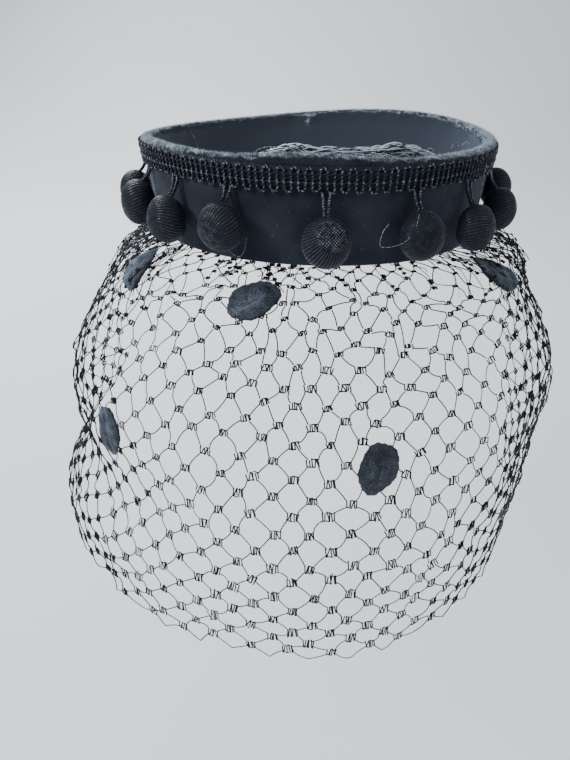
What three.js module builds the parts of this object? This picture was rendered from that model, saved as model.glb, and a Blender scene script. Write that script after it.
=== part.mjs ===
// An open-crown pillbox hat: a velvet-covered ring with a rolled rim, a gimp braid round its top,
// a row of wrapped ball pendants on short cord loops, and a face veil of coarse net with oval dots.
//
// Millimetres, +Z up along the ring's axis, the front of the hat towards -Y. The origin is the
// centre of the ring's lower opening, where the hat sits on a head.

import * as THREE from 'three';
import { mergeVertices } from 'three/addons/utils/BufferGeometryUtils.js';

// Driving dimensions

const clearance = 0.3;            // gap between pieces that touch on the real hat

const bandTopRadius = 77.5;       // outside of the ring at its rim
const bandFootRadius = 73;        // outside of the ring at its lower edge
const bandHeight = 38;
const bandWall = 3;               // covered stiff wall, velvet on both sides
const rimRoll = 4.4;              // thickness of the padded rim
const bandColumns = 60;

const gimpTop = 0.5;              // how far the braid starts below the top of the rim
const gimpWidth = 8.3;            // height of the woven part of the braid
const gimpThickness = 1.5;
const picotPitch = 5;             // spacing of the small loops along the braid's lower edge
const picotDrop = 1.6;

const ballRadius = 9.2;
const ballHalfDepth = 7.4;        // the balls are flattened towards the ring
const ballCount = 16;
const ballDrop = 25.2;            // from the top of the rim down to a ball's centre
const loopWidth = 2.4;
const loopThickness = 1.2;

const veilDrop = 145;             // from the ring's lower edge down to the veil's front edge
const veilReach = 134;            // from the ring's axis out to the veil's front edge
const veilHeading = 9;            // height of net inside the ring
const veilThickness = 1.2;
const veilStrand = 2.4;           // width of a bar of the net
const veilWrap = 250;             // degrees of the ring that the veil goes round
const veilColumns = 13;           // knots in one row, all the way round
const veilRows = 12;              // rows of knots below the heading
const knotShare = 0.42;           // length of a knot, as a share of the column spacing

const dotLength = 21;
const dotWidth = 15;
const dotThickness = 1.1;

const gatherDepth = 5.2;          // bundle of gathered net along the inside of the front rim
const gatherHeight = 5;
const gatherRise = 2.2;           // its middle is this far above the rim
const gatherStart = -16;
const gatherEnd = 37;

// Tables

// The ring is a little warped: each row lifts it in so many lobes, as a share of its height.
const rimWaves = [
  { lobes: 2, lift: 0.041, peak: -38 },
  { lobes: 3, lift: 0.013, peak: 20 },
];

// Swells of the ring's upper half, as shares of its height: lift takes the braid along, and crest
// stretches only the rim above it, most of all where the gathered net pushes it up.
const rimSwells = [
  { azimuth: -55, spread: 30, lift: 0.04, crest: 0.014 },
  { azimuth: -1, spread: 20, lift: 0.008, crest: 0.072 },
  { azimuth: 45, spread: 24, lift: 0.028, crest: 0.01 },
];

// The balls don't hang evenly: turn is in degrees, lower is a share of the ball's radius.
const ballHang = [
  { ball: 1, turn: 2.6, lower: 0.07 },
  { ball: 2, turn: 5.6, lower: -0.05 },
  { ball: 3, turn: 4.4, lower: 0.1 },
  { ball: 4, turn: 2, lower: -0.04 },
  { ball: 5, turn: 1.6, lower: -0.16 },
  { ball: 6, turn: 1, lower: 0.05 },
  { ball: 7, turn: -1, lower: 0 },
  { ball: 8, turn: 1.5, lower: 0.08 },
  { ball: 9, turn: 0, lower: -0.06 },
  { ball: 10, turn: -1.2, lower: 0.04 },
  { ball: 11, turn: 1, lower: -0.03 },
  { ball: 12, turn: 2.4, lower: 0.02 },
  { ball: 13, turn: 5, lower: -0.12 },
  { ball: 14, turn: 5.2, lower: -0.3 },
  { ball: 15, turn: 0.8, lower: -0.1 },
  { ball: 16, turn: -2, lower: -0.28 },
];

// Sections of the veil from its heading to its lower edge. along is the share of the way down the
// net, drop a share of veilDrop, and the others are distances from the axis, shares of veilReach.
const veilLevels = [
  { along: 0.055, drop: 0.012, front: 0.518, right: 0.52, left: 0.52, back: 0.518 },
  { along: 0.09, drop: 0.03, front: 0.555, right: 0.63, left: 0.59, back: 0.56 },
  { along: 0.15, drop: 0.075, front: 0.61, right: 0.715, left: 0.68, back: 0.62 },
  { along: 0.23, drop: 0.15, front: 0.68, right: 0.745, left: 0.735, back: 0.66 },
  { along: 0.32, drop: 0.24, front: 0.745, right: 0.8, left: 0.8, back: 0.7 },
  { along: 0.42, drop: 0.345, front: 0.8, right: 0.86, left: 0.87, back: 0.73 },
  { along: 0.56, drop: 0.5, front: 0.865, right: 0.875, left: 0.91, back: 0.76 },
  { along: 0.71, drop: 0.67, front: 0.925, right: 0.855, left: 0.915, back: 0.78 },
  { along: 0.86, drop: 0.84, front: 0.97, right: 0.83, left: 0.985, back: 0.8 },
  { along: 1, drop: 1, front: 1, right: 0.81, left: 1.0, back: 0.82 },
];
const veilSideAzimuth = 70;       // where the right and left columns hold
const veilTie = 0.32;             // down to this share the net also follows the ring's lower edge

// How far down the net reaches at each azimuth, as a share of the way down.
const veilHem = [
  { azimuth: -125, along: 0.24 },
  { azimuth: -112, along: 0.5 },
  { azimuth: -96, along: 0.84 },
  { azimuth: -82, along: 1 },
  { azimuth: 80, along: 1 },
  { azimuth: 95, along: 0.84 },
  { azimuth: 111, along: 0.5 },
  { azimuth: 125, along: 0.24 },
];

// Oval dots on the net: slant is how far the long axis is turned up from level, in degrees.
const veilDots = [
  { azimuth: -57, along: 0.15, slant: -62 },
  { azimuth: -16, along: 0.155, slant: 28 },
  { azimuth: -45, along: 0.565, slant: -80 },
  { azimuth: 12.6, along: 0.515, slant: 66 },
  { azimuth: 53, along: 0.145, slant: -48 },
];

// Colours

const velvet = { color: 0x11151f, roughness: 0.95, metalness: 0 };
const braid = { color: 0x1a1e27, roughness: 0.55, metalness: 0 };
const netting = { color: 0x15171b, roughness: 0.5, metalness: 0 };
const flock = { color: 0x222831, roughness: 0.98, metalness: 0 };

const hat = new THREE.Group();

function addPiece(name, geometry, finish) {
  const piece = new THREE.Mesh(geometry, new THREE.MeshStandardMaterial(finish));
  piece.name = name;
  hat.add(piece);
}

// A closed mesh from points and faces, turned so that its faces point out.
function closedMesh(points, triangles) {
  let volume = 0;
  for (const [a, b, c] of triangles) {
    volume += points[a].dot(points[b].clone().cross(points[c]));
  }
  const faces = volume > 0 ? triangles : triangles.map(([a, b, c]) => [a, c, b]);
  const geometry = new THREE.BufferGeometry();
  const positions = points.flatMap((p) => [p.x, p.y, p.z]);
  geometry.setAttribute('position', new THREE.Float32BufferAttribute(positions, 3));
  geometry.setIndex(faces.flat());
  return geometry;
}

function quad(a, b, c, d) {
  return [[a, b, c], [a, c, d]];
}

// Skins a list of closed sections. The list closes on itself, or else its two ends are capped.
function skinSections(sections, closesOnItself) {
  const points = sections.flat();
  const around = sections[0].length;
  const spans = closesOnItself ? sections.length : sections.length - 1;
  const triangles = [];
  for (let i = 0; i < spans; i += 1) {
    const here = i * around;
    const there = ((i + 1) % sections.length) * around;
    for (let k = 0; k < around; k += 1) {
      const next = (k + 1) % around;
      triangles.push(...quad(here + k, here + next, there + next, there + k));
    }
  }
  if (!closesOnItself) {
    const last = points.length - around;
    for (let k = 1; k < around - 1; k += 1) {
      triangles.push([0, k + 1, k]);
      triangles.push([last, last + k, last + k + 1]);
    }
  }
  return closedMesh(points, triangles);
}

// Smooth interpolation down one column of a table whose rows rise in the key column.
function readTable(rows, key, column, at) {
  const last = rows.length - 1;
  if (at <= rows[0][key]) return rows[0][column];
  if (at >= rows[last][key]) return rows[last][column];
  const i = rows.findIndex((row, n) => n < last && at <= rows[n + 1][key]);
  const slope = (n) => {
    const low = rows[Math.max(n - 1, 0)];
    const high = rows[Math.min(n + 1, last)];
    return (high[column] - low[column]) / (high[key] - low[key]);
  };
  const span = rows[i + 1][key] - rows[i][key];
  const t = (at - rows[i][key]) / span;
  const t2 = t * t;
  const t3 = t2 * t;
  return (2 * t3 - 3 * t2 + 1) * rows[i][column] + (t3 - 2 * t2 + t) * span * slope(i)
    + (3 * t2 - 2 * t3) * rows[i + 1][column] + (t3 - t2) * span * slope(i + 1);
}

const radians = THREE.MathUtils.degToRad;

// A point at an azimuth, counted from the front towards +X, a distance from the axis and a height.
function around(azimuth, radius, height) {
  const angle = radians(azimuth);
  return new THREE.Vector3(radius * Math.sin(angle), -radius * Math.cos(angle), height);
}

function rimLift(azimuth) {
  let lift = 0;
  for (const { lobes, lift: share, peak } of rimWaves) {
    lift += share * bandHeight * Math.cos(lobes * radians(azimuth - peak));
  }
  return lift;
}

function rimSwell(azimuth, column) {
  let swell = 0;
  for (const row of rimSwells) {
    const away = THREE.MathUtils.euclideanModulo(azimuth - row.azimuth + 180, 360) - 180;
    swell += row[column] * bandHeight * Math.exp(-((away / row.spread) ** 2));
  }
  return swell;
}

// Where a height on the flat pattern of the ring ends up once the ring is warped.
function ringHeight(azimuth, height) {
  const upward = height / bandHeight;
  const neck = bandHeight - rimRoll;
  const crest = THREE.MathUtils.clamp((height - neck) / rimRoll, 0, 1);
  return height + rimLift(azimuth) + rimSwell(azimuth, 'lift') * upward
    + rimSwell(azimuth, 'crest') * crest;
}

// The outside of the ring at a height above its lower edge.
function bandRadius(height) {
  return THREE.MathUtils.lerp(bandFootRadius, bandTopRadius, height / bandHeight);
}

// The velvet ring

function bandSection(azimuth) {
  const edge = bandWall / 4;
  const waist = bandHeight * 0.35;
  const shoulder = bandHeight - rimRoll / 3;
  const neck = bandHeight - rimRoll;
  const wallPoints = [
    [bandFootRadius - edge, 0],
    [bandFootRadius, edge],
    [bandRadius(waist), waist],
    [bandRadius(neck), neck],
    [bandTopRadius, shoulder],
    [bandTopRadius - rimRoll * 0.22, bandHeight - rimRoll * 0.06],
    [bandTopRadius - rimRoll * 0.5, bandHeight],
    [bandTopRadius - rimRoll * 0.8, bandHeight - rimRoll * 0.1],
    [bandTopRadius - rimRoll, shoulder],
    [bandRadius(neck) - bandWall - (rimRoll - bandWall) * 0.3, neck],
    [bandRadius(waist) - bandWall, waist],
    [bandFootRadius - bandWall, edge],
    [bandFootRadius - bandWall + edge, 0],
  ];
  return wallPoints.map(([radius, height]) => around(azimuth, radius, ringHeight(azimuth, height)));
}

function makeBand() {
  const sections = [];
  for (let i = 0; i < bandColumns; i += 1) {
    sections.push(bandSection((360 * i) / bandColumns));
  }
  addPiece('crown_band', skinSections(sections, true), velvet);
}

// The gimp braid, ribbed, with a row of small loops along its lower edge

const gimpHigh = bandHeight - gimpTop;
const gimpLow = gimpHigh - gimpWidth;
const picotLow = gimpLow - picotDrop;

// How far the swells lift the braid, which keeps its width.
function braidSwell(azimuth) {
  return (rimSwell(azimuth, 'lift') * gimpHigh) / bandHeight;
}

function gimpSection(azimuth, onRib) {
  const lift = rimLift(azimuth) + braidSwell(azimuth);
  const rib = onRib ? 0 : gimpThickness * 0.3;
  const low = onRib ? picotLow : gimpLow;
  const inner = (height) => bandRadius(height) + clearance;
  const outer = (height, swell) => inner(height) + gimpThickness * swell - rib;
  const middle = (gimpHigh + gimpLow) / 2;
  return [
    [inner(gimpHigh), gimpHigh],
    [outer(gimpHigh, 0.8), gimpHigh],
    [outer(middle, 1.2), middle],
    [outer(gimpLow, 0.9), gimpLow + picotDrop * 0.3],
    [outer(low, 0.8), low],
    [inner(low), low],
  ].map(([radius, height]) => around(azimuth, radius, height + lift));
}

function makeGimp() {
  const picots = Math.round((2 * Math.PI * bandTopRadius) / picotPitch);
  const sections = [];
  for (let i = 0; i < 2 * picots; i += 1) {
    sections.push(gimpSection((180 * i) / picots, i % 2 === 0));
  }
  addPiece('gimp_braid', skinSections(sections, true), braid);
}

// The wrapped balls and the cord loops that they hang on

const ballSides = 12;
const ballRings = 7;

function ballPlace({ ball, turn, lower }) {
  const azimuth = ((ball - 1) * 360) / ballCount + turn;
  const height = bandHeight - ballDrop - lower * ballRadius;
  const wallTop = bandRadius(height + ballRadius);
  return { azimuth, height, distance: wallTop + clearance + ballHalfDepth };
}

function makeBall(name, { azimuth, height, distance }) {
  const ball = new THREE.SphereGeometry(1, ballSides, ballRings);
  ball.deleteAttribute('normal');
  ball.deleteAttribute('uv');
  ball.scale(ballRadius, ballHalfDepth, ballRadius);
  ball.rotateZ(radians(azimuth));
  const centre = around(azimuth, distance, height + rimLift(azimuth));
  ball.translate(centre.x, centre.y, centre.z);
  addPiece(name, mergeVertices(ball, 1e-4), braid);
}

function makeLoop(name, { azimuth, height, distance }) {
  const top = picotLow - clearance;
  const ballOffset = ballHalfDepth * 0.35;
  const capHeight = Math.sqrt(1 - (ballOffset / ballHalfDepth) ** 2) * ballRadius;
  const bottom = height + capHeight + clearance * 2;
  const topRadius = bandRadius(top) + clearance + loopThickness / 2;
  const bottomRadius = distance - ballOffset;
  const steps = 4;
  const sections = [];
  for (let i = 0; i <= steps; i += 1) {
    const t = i / steps;
    const level = THREE.MathUtils.lerp(top + braidSwell(azimuth), bottom, t);
    const radius = THREE.MathUtils.lerp(topRadius, bottomRadius, t * t);
    const halfAngle = THREE.MathUtils.radToDeg(loopWidth / 2 / radius);
    const section = [];
    for (const [side, depth] of [[-1, 0], [-0.5, 1], [0.5, 1], [1, 0], [0.5, -1], [-0.5, -1]]) {
      const reach = radius + (depth * loopThickness) / 2;
      section.push(around(azimuth + side * halfAngle, reach, level + rimLift(azimuth)));
    }
    sections.push(section);
  }
  addPiece(name, skinSections(sections, false), braid);
}

function makeBalls() {
  for (const row of ballHang) {
    const number = String(row.ball).padStart(2, '0');
    const place = ballPlace(row);
    makeBall(`ball_${number}`, place);
    makeLoop(`ball_loop_${number}`, place);
  }
}

// The veil's surface

function sideBlend(azimuth, front, right, left, back) {
  const side = azimuth >= 0 ? right : left;
  const away = Math.abs(azimuth);
  if (away <= veilSideAzimuth) {
    const t = (1 - Math.cos((Math.PI * away) / veilSideAzimuth)) / 2;
    return THREE.MathUtils.lerp(front, side, t);
  }
  const t = (1 - Math.cos((Math.PI * (away - veilSideAzimuth)) / (180 - veilSideAzimuth))) / 2;
  return THREE.MathUtils.lerp(side, back, t);
}

const headingRadius = bandFootRadius - bandWall - clearance - veilThickness / 2;

function veilPoint(azimuth, along) {
  const lift = rimLift(azimuth) * (1 - along);
  const start = veilLevels[0];
  if (along <= start.along) {
    const t = along / start.along;
    const height = THREE.MathUtils.lerp(veilHeading, -start.drop * veilDrop, t);
    return around(azimuth, headingRadius, height + lift);
  }
  const level = (column) => readTable(veilLevels, 'along', column, along) * veilReach;
  const topRadius = sideBlend(azimuth, start.front, start.right, start.left, start.back) * veilReach;
  const tie = 1 - THREE.MathUtils.smoothstep(along, start.along, veilTie);
  const radius = sideBlend(azimuth, level('front'), level('right'), level('left'), level('back'))
    + (headingRadius - topRadius) * tie;
  const drop = readTable(veilLevels, 'along', 'drop', along) * veilDrop;
  return around(azimuth, radius, lift - drop);
}

function veilNormal(azimuth, along) {
  const across = veilPoint(azimuth + 1, along).sub(veilPoint(azimuth - 1, along));
  const down = veilPoint(azimuth, along + 0.01).sub(veilPoint(azimuth, Math.max(along - 0.01, 0)));
  return down.cross(across).normalize();
}

// The net: six-sided gaps in staggered columns, cut to the hem in whole gaps. A lattice point is
// one end of a knot, and a gap is a list of lattice points, anticlockwise from outside.

function rowAlong(row) {
  const footAlong = veilLevels[0].along;
  if (row === 0) return 0;
  return THREE.MathUtils.lerp(footAlong, 1, (row - 1) / (veilRows - 1));
}

function latticePoint(points, column, row, end) {
  const key = `${column},${row},${end}`;
  if (!points.has(key)) {
    const step = veilWrap / veilColumns;
    const azimuth = (column + (end * knotShare) / 2) * step;
    points.set(key, { key, azimuth, along: rowAlong(row) });
  }
  return points.get(key);
}

function netGaps() {
  const points = new Map();
  const gaps = [];
  const half = veilColumns / 2;
  const inside = ({ azimuth, along }) => Math.abs(azimuth) <= veilWrap / 2
    && along <= readTable(veilHem, 'azimuth', 'along', azimuth) + 1e-9;
  const keep = (gap) => {
    if (gap.every(inside)) gaps.push(gap);
  };
  const at = (column, row, end) => latticePoint(points, column, row, end);
  for (let column = -half; column <= half; column += 0.5) {
    const firstRow = Number.isInteger(column) ? 0 : 1;
    if (firstRow === 1) {
      keep([
        at(column - 0.5, 0, 1), at(column, 1, -1), at(column, 1, 1), at(column + 0.5, 0, -1),
      ]);
    }
    for (let row = firstRow; row + 2 <= veilRows; row += 2) {
      keep([
        at(column, row, -1), at(column - 0.5, row + 1, 1), at(column, row + 2, -1),
        at(column, row + 2, 1), at(column + 0.5, row + 1, -1), at(column, row, 1),
      ]);
    }
  }
  return gaps;
}

// The edge of the net runs the other way round each gap side that has no neighbour.
function outerLoops(gaps) {
  const sides = new Map();
  for (const gap of gaps) {
    gap.forEach((point, i) => {
      const next = gap[(i + 1) % gap.length];
      sides.set(`${point.key}>${next.key}`, [point, next]);
    });
  }
  const onward = new Map();
  for (const [point, next] of sides.values()) {
    if (!sides.has(`${next.key}>${point.key}`)) onward.set(next.key, [next, point]);
  }
  const loops = [];
  while (onward.size > 0) {
    const [first] = onward.keys();
    const loop = [];
    let key = first;
    while (onward.has(key)) {
      const [point, next] = onward.get(key);
      onward.delete(key);
      loop.push(point);
      key = next.key;
    }
    loops.push(loop);
  }
  return loops;
}

// The corner of a gap at one lattice point, set in from both strands by half a strand.
function insetCorner(before, point, after) {
  const normal = veilNormal(point.azimuth, point.along);
  const here = veilPoint(point.azimuth, point.along);
  const arrive = here.clone().sub(veilPoint(before.azimuth, before.along));
  const leave = veilPoint(after.azimuth, after.along).sub(here);
  const inwardA = normal.clone().cross(arrive).normalize();
  const inwardB = normal.clone().cross(leave).normalize();
  const spread = Math.max(1 + inwardA.dot(inwardB), 0.4);
  const shift = inwardA.add(inwardB).multiplyScalar(veilStrand / 2 / spread);
  const middle = here.add(shift);
  const half = veilThickness / 2;
  return {
    outer: middle.clone().addScaledVector(normal, half),
    inner: middle.clone().addScaledVector(normal, -half),
  };
}

function makeNet() {
  const gaps = netGaps();
  const faces = [...gaps, ...outerLoops(gaps)];
  const points = [];
  const corners = new Map();
  const sideOwner = new Map();
  faces.forEach((face, f) => {
    face.forEach((point, i) => {
      const before = face[(i + face.length - 1) % face.length];
      const after = face[(i + 1) % face.length];
      const { outer, inner } = insetCorner(before, point, after);
      corners.set(`${f}:${point.key}`, points.length);
      points.push(outer, inner);
      sideOwner.set(`${point.key}>${after.key}`, f);
    });
  });
  const corner = (f, point) => corners.get(`${f}:${point.key}`);
  const triangles = [];
  const addBothSides = (ring) => {
    for (let k = 1; k < ring.length - 1; k += 1) {
      triangles.push([ring[0], ring[k], ring[k + 1]]);
      triangles.push([ring[0] + 1, ring[k + 1] + 1, ring[k] + 1]);
    }
  };
  const knotsDone = new Set();
  faces.forEach((face, f) => {
    face.forEach((point, i) => {
      const after = face[(i + 1) % face.length];
      const here = corner(f, point);
      const there = corner(f, after);
      triangles.push(...quad(here, there, there + 1, here + 1));
      const g = sideOwner.get(`${after.key}>${point.key}`);
      if (point.key < after.key) addBothSides([corner(g, point), corner(g, after), there, here]);
      if (knotsDone.has(point.key)) return;
      knotsDone.add(point.key);
      const ring = [];
      let owner = f;
      do {
        ring.push(corner(owner, point));
        const polygon = faces[owner];
        const place = polygon.indexOf(point);
        const before = polygon[(place + polygon.length - 1) % polygon.length];
        owner = sideOwner.get(`${point.key}>${before.key}`);
      } while (owner !== f);
      addBothSides(ring);
    });
  });
  addPiece('veil_net', closedMesh(points, triangles), netting);
}

// The oval dots, lens-shaped and curved with the net that they are stuck to

function makeDot(name, { azimuth, along, slant }) {
  const step = 0.5;
  const across = veilPoint(azimuth + step, along).distanceTo(veilPoint(azimuth - step, along));
  const share = step / 100;
  const down = veilPoint(azimuth, along + share).distanceTo(veilPoint(azimuth, along - share));
  const degreesPerMm = (2 * step) / across;
  const alongPerMm = (2 * share) / down;
  const seat = veilThickness / 2 + clearance;
  const sides = 14;
  const turn = radians(slant);
  const place = (ring, k, height) => {
    const angle = (2 * Math.PI * k) / sides;
    const u = (Math.cos(angle) * dotLength * ring) / 2;
    const v = (Math.sin(angle) * dotWidth * ring) / 2;
    const right = u * Math.cos(turn) - v * Math.sin(turn);
    const up = u * Math.sin(turn) + v * Math.cos(turn);
    const spotAzimuth = azimuth + right * degreesPerMm;
    const spotAlong = along - up * alongPerMm;
    const normal = veilNormal(spotAzimuth, spotAlong);
    return veilPoint(spotAzimuth, spotAlong).addScaledVector(normal, seat + height);
  };
  const rings = [[0.6, 0], [1, 0], [1, dotThickness * 0.5], [0.6, dotThickness]];
  const points = [place(0, 0, 0)];
  const triangles = [];
  rings.forEach(([ring, height]) => {
    for (let k = 0; k < sides; k += 1) points.push(place(ring, k, height));
  });
  points.push(place(0, 0, dotThickness));
  const last = points.length - 1;
  for (let k = 0; k < sides; k += 1) {
    const next = (k + 1) % sides;
    triangles.push([0, 1 + next, 1 + k]);
    for (let r = 0; r < rings.length - 1; r += 1) {
      const here = 1 + r * sides;
      triangles.push(...quad(here + k, here + next, here + sides + next, here + sides + k));
    }
    const top = 1 + (rings.length - 1) * sides;
    triangles.push([top + k, top + next, last]);
  }
  addPiece(name, closedMesh(points, triangles), flock);
}

function makeDots() {
  veilDots.forEach((dot, i) => makeDot(`veil_dot_${i + 1}`, dot));
}

// The gathered heading of the net, a loose bundle along the inside of the front rim

function makeGather() {
  const steps = 26;
  const sides = 8;
  const seatRadius = bandTopRadius - rimRoll - clearance;
  const sections = [];
  for (let i = 0; i <= steps; i += 1) {
    const share = i / steps;
    const azimuth = THREE.MathUtils.lerp(gatherStart, gatherEnd, share);
    const swell = 0.3 + 0.7 * Math.sin(Math.PI * share) ** 0.7;
    const halfDepth = (gatherDepth / 2) * swell;
    const halfHeight = (gatherHeight / 2) * swell;
    const height = bandHeight + gatherRise * swell + rimLift(azimuth);
    const section = [];
    for (let k = 0; k < sides; k += 1) {
      const angle = (2 * Math.PI * k) / sides;
      const radius = seatRadius - halfDepth + halfDepth * Math.cos(angle);
      section.push(around(azimuth, radius, height + halfHeight * Math.sin(angle)));
    }
    sections.push(section);
  }
  addPiece('net_gather', skinSections(sections, false), netting);
}

makeBand();
makeGimp();
makeBalls();
makeNet();
makeDots();
makeGather();

export default hat;
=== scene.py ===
# %% [markdown]
# # A pillbox hat with a face veil
#
# The hat is a stiff ring covered with black velvet, open at the top. A ribbed gimp braid runs
# round its rim, wrapped balls hang from the braid on short twin cords, and a stiff net veil with
# five velvet dots comes out from under the ring. This lesson dresses the solids of the hat one
# piece at a time. Every size is in millimetres until the last step, where a mesh is made.

# %% Load the frame
import math

import bpy
import numpy as np
from mathutils import Matrix, Vector


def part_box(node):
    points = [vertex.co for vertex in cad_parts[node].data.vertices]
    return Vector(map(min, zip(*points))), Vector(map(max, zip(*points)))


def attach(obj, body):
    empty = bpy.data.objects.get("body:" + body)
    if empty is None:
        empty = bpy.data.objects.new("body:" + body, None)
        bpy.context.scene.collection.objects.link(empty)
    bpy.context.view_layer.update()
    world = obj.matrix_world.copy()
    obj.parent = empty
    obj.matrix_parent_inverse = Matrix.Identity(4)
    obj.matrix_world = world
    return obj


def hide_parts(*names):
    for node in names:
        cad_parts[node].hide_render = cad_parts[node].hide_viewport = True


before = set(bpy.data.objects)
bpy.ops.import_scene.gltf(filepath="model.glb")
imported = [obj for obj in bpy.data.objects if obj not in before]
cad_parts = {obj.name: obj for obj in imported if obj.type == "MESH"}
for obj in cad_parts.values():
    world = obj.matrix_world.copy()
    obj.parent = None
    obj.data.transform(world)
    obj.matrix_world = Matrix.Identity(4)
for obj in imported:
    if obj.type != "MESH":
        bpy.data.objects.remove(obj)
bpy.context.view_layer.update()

MM = 0.001
chance = np.random.default_rng(11)

# %% [markdown]
# ## The camera
#
# The picture looks down on the hat from just above the rim. A short lens close to the hat makes
# the veil taper downwards. The camera is placed first, because all later choices of detail are
# judged through it.

# %% Place the camera
FRAME_HEIGHT = 760
FOCAL_PIXELS = 640
CAMERA_PLACE = Vector((-0.8, -306.3, 81.9)) * MM
CAMERA_PITCH = math.radians(29.27)
CAMERA_YAW = math.radians(-2.7)
CAMERA_ROLL = math.radians(-0.5)


def add_object(name, data):
    """A new object in the scene that shows the data."""
    made = bpy.data.objects.new(name, data)
    bpy.context.scene.collection.objects.link(made)
    return made


def camera_turn():
    """A camera looks down its own -Z, so it is rolled, then tipped up, then yawed."""
    tipped = Matrix.Rotation(math.pi / 2 - CAMERA_PITCH, 4, "X")
    return Matrix.Rotation(-CAMERA_YAW, 4, "Z") @ tipped @ Matrix.Rotation(CAMERA_ROLL, 4, "Z")


lens = bpy.data.cameras.new("camera")
lens.sensor_fit = "VERTICAL"
lens.sensor_height = 24
lens.lens = lens.sensor_height * FOCAL_PIXELS / FRAME_HEIGHT
lens.clip_start = 0.01
camera = add_object("camera", lens)
camera.matrix_world = Matrix.Translation(CAMERA_PLACE) @ camera_turn()
bpy.context.scene.camera = camera
print("lens", round(lens.lens, 2), "mm")

# %% [markdown]
# ## Shader arithmetic
#
# A procedural material is a sum of small masks. Written as nodes one by one it is hard to read,
# so a small class lets an output socket be added, multiplied and compared like a number. Colours
# and vectors don't pass through it, because a Math node would turn them grey.


# %% Sockets that can be added and multiplied
class Wire:
    """An output socket of one finish, with arithmetic that adds Math nodes."""

    def __init__(self, finish, socket):
        self.finish = finish
        self.socket = socket

    def math(self, operation, *others):
        return self.finish.node("ShaderNodeMath", {"operation": operation}, self, *others)

    def __add__(self, other):
        return self.math("ADD", other)

    def __mul__(self, other):
        return self.math("MULTIPLY", other)

    def __sub__(self, other):
        return self.math("SUBTRACT", other)

    def between(self, low, high):
        return self.finish.node("ShaderNodeMapRange", {"interpolation_type": "SMOOTHSTEP"},
                                self, low, high, 0.0, 1.0)


class Finish:
    """One material: its shader's fixed values are set on the sockets, and masks feed colour."""

    def __init__(self, name, **fixed):
        self.material = bpy.data.materials.new(name)
        self.material.use_nodes = True
        self.nodes = self.material.node_tree.nodes
        self.links = self.material.node_tree.links
        self.shader = self.nodes["Principled BSDF"]
        for socket, value in fixed.items():
            self.shader.inputs[socket.replace("_", " ")].default_value = value

    def node(self, kind, settings, *values, out=0):
        made = self.nodes.new(kind)
        for key, value in settings.items():
            setattr(made, key, value)
        for place, value in enumerate(values):
            self.plug(made.inputs[place], value)
        return Wire(self, made.outputs[out])

    def plug(self, socket, value):
        if isinstance(value, Wire):
            self.links.new(value.socket, socket)
        elif value is not None:
            socket.default_value = value

    def feed(self, name, value):
        self.plug(self.shader.inputs[name], value)

    def noise(self, scale, detail=3.0):
        place = self.node("ShaderNodeTexCoord", {}, out=3)
        return self.node("ShaderNodeTexNoise", {}, place, None, scale, detail)

    def attribute(self, name):
        return self.node("ShaderNodeAttribute", {"attribute_name": name}, out=2)

    def mix(self, share, first, second):
        values = (share, *[None] * 5, first, second)
        return self.node("ShaderNodeMix", {"data_type": "RGBA"}, *values, out=2)

    def bump(self, height, depth_mm, strength=1.0):
        made = self.nodes.new("ShaderNodeBump")
        made.inputs["Strength"].default_value = strength
        made.inputs["Distance"].default_value = depth_mm * MM
        self.plug(made.inputs["Height"], height)
        self.feed("Normal", Wire(self, made.outputs["Normal"]))


def rgb(red, green, blue):
    return (red, green, blue, 1.0)


# %% [markdown]
# ## Velvet
#
# Black velvet is almost black from the front and pale where its pile is seen from the side, which
# is what sheen does. The rim's pile is worn to a bluish grey, and its top is painted paler still as
# a painted highlight where the rim catches the light. The inner wall is painted a little paler as
# painted light. How pale the rim and the inner wall are comes from two attributes of the mesh, so
# that the pale rim follows the rim's wave.

# %% Velvet finish
velvet = Finish("velvet_wear_and_painted_light", Roughness=0.92, Sheen_Weight=0.36, Sheen_Roughness=0.42,
                Sheen_Tint=rgb(0.56, 0.63, 0.76), Specular_IOR_Level=0.08)
pile = velvet.noise(2600, 4.0)
cloud = velvet.noise(75, 3.0)
fleck = velvet.noise(900, 2.0).between(0.66, 0.8)
# The rim's top is painted pale: worn pile, and a painted highlight where the rim catches the light.
worn_and_highlit = velvet.attribute("wear_and_painted_light")
patches = (velvet.noise(420, 4.0) - 0.5) * (worn_and_highlit * 1.7 + 0.2)
ragged = (worn_and_highlit * 0.85 + patches).between(0.25, 0.9)
deep = velvet.mix(cloud.between(0.3, 0.75), rgb(0.014, 0.018, 0.027), rgb(0.027, 0.032, 0.046))
nap = velvet.mix(pile.between(0.4, 0.68), rgb(0.13, 0.165, 0.21), rgb(0.64, 0.71, 0.79))
# The inner wall is painted a little paler, as painted light.
painted_light_inside = velvet.mix(velvet.attribute("painted_light_inside"), deep, rgb(0.037, 0.045, 0.061))
cloth = velvet.mix(ragged, painted_light_inside, nap)
velvet.feed("Base Color", velvet.mix(fleck * 0.16, cloth, rgb(0.3, 0.34, 0.4)))
velvet.bump(pile * 0.6 + velvet.noise(800, 3.0) * 0.6, 0.25, 0.9)

# %% [markdown]
# ## Thread
#
# The braid, the cords and the balls are all made of one black rayon thread. The turns that stand
# out are rubbed smooth, so a glossy coat gives them small glints, and they are painted paler,
# partly rubbed thread and partly a painted highlight, while the gaps are painted black as painted
# shade.
# One attribute of the mesh drives both the colour and the glossy coat: on the cords and balls it is
# how far a point stands out, and on loose threads it is given per thread. The net is a finer,
# stiffer thread, with some threads painted paler as a painted highlight, and the gathered bundle is
# painted pale as a painted highlight of the light behind it.


# %% Thread finishes
WEAVE_PERIOD = 1.25
WEAVE_WOBBLE = 4


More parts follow.
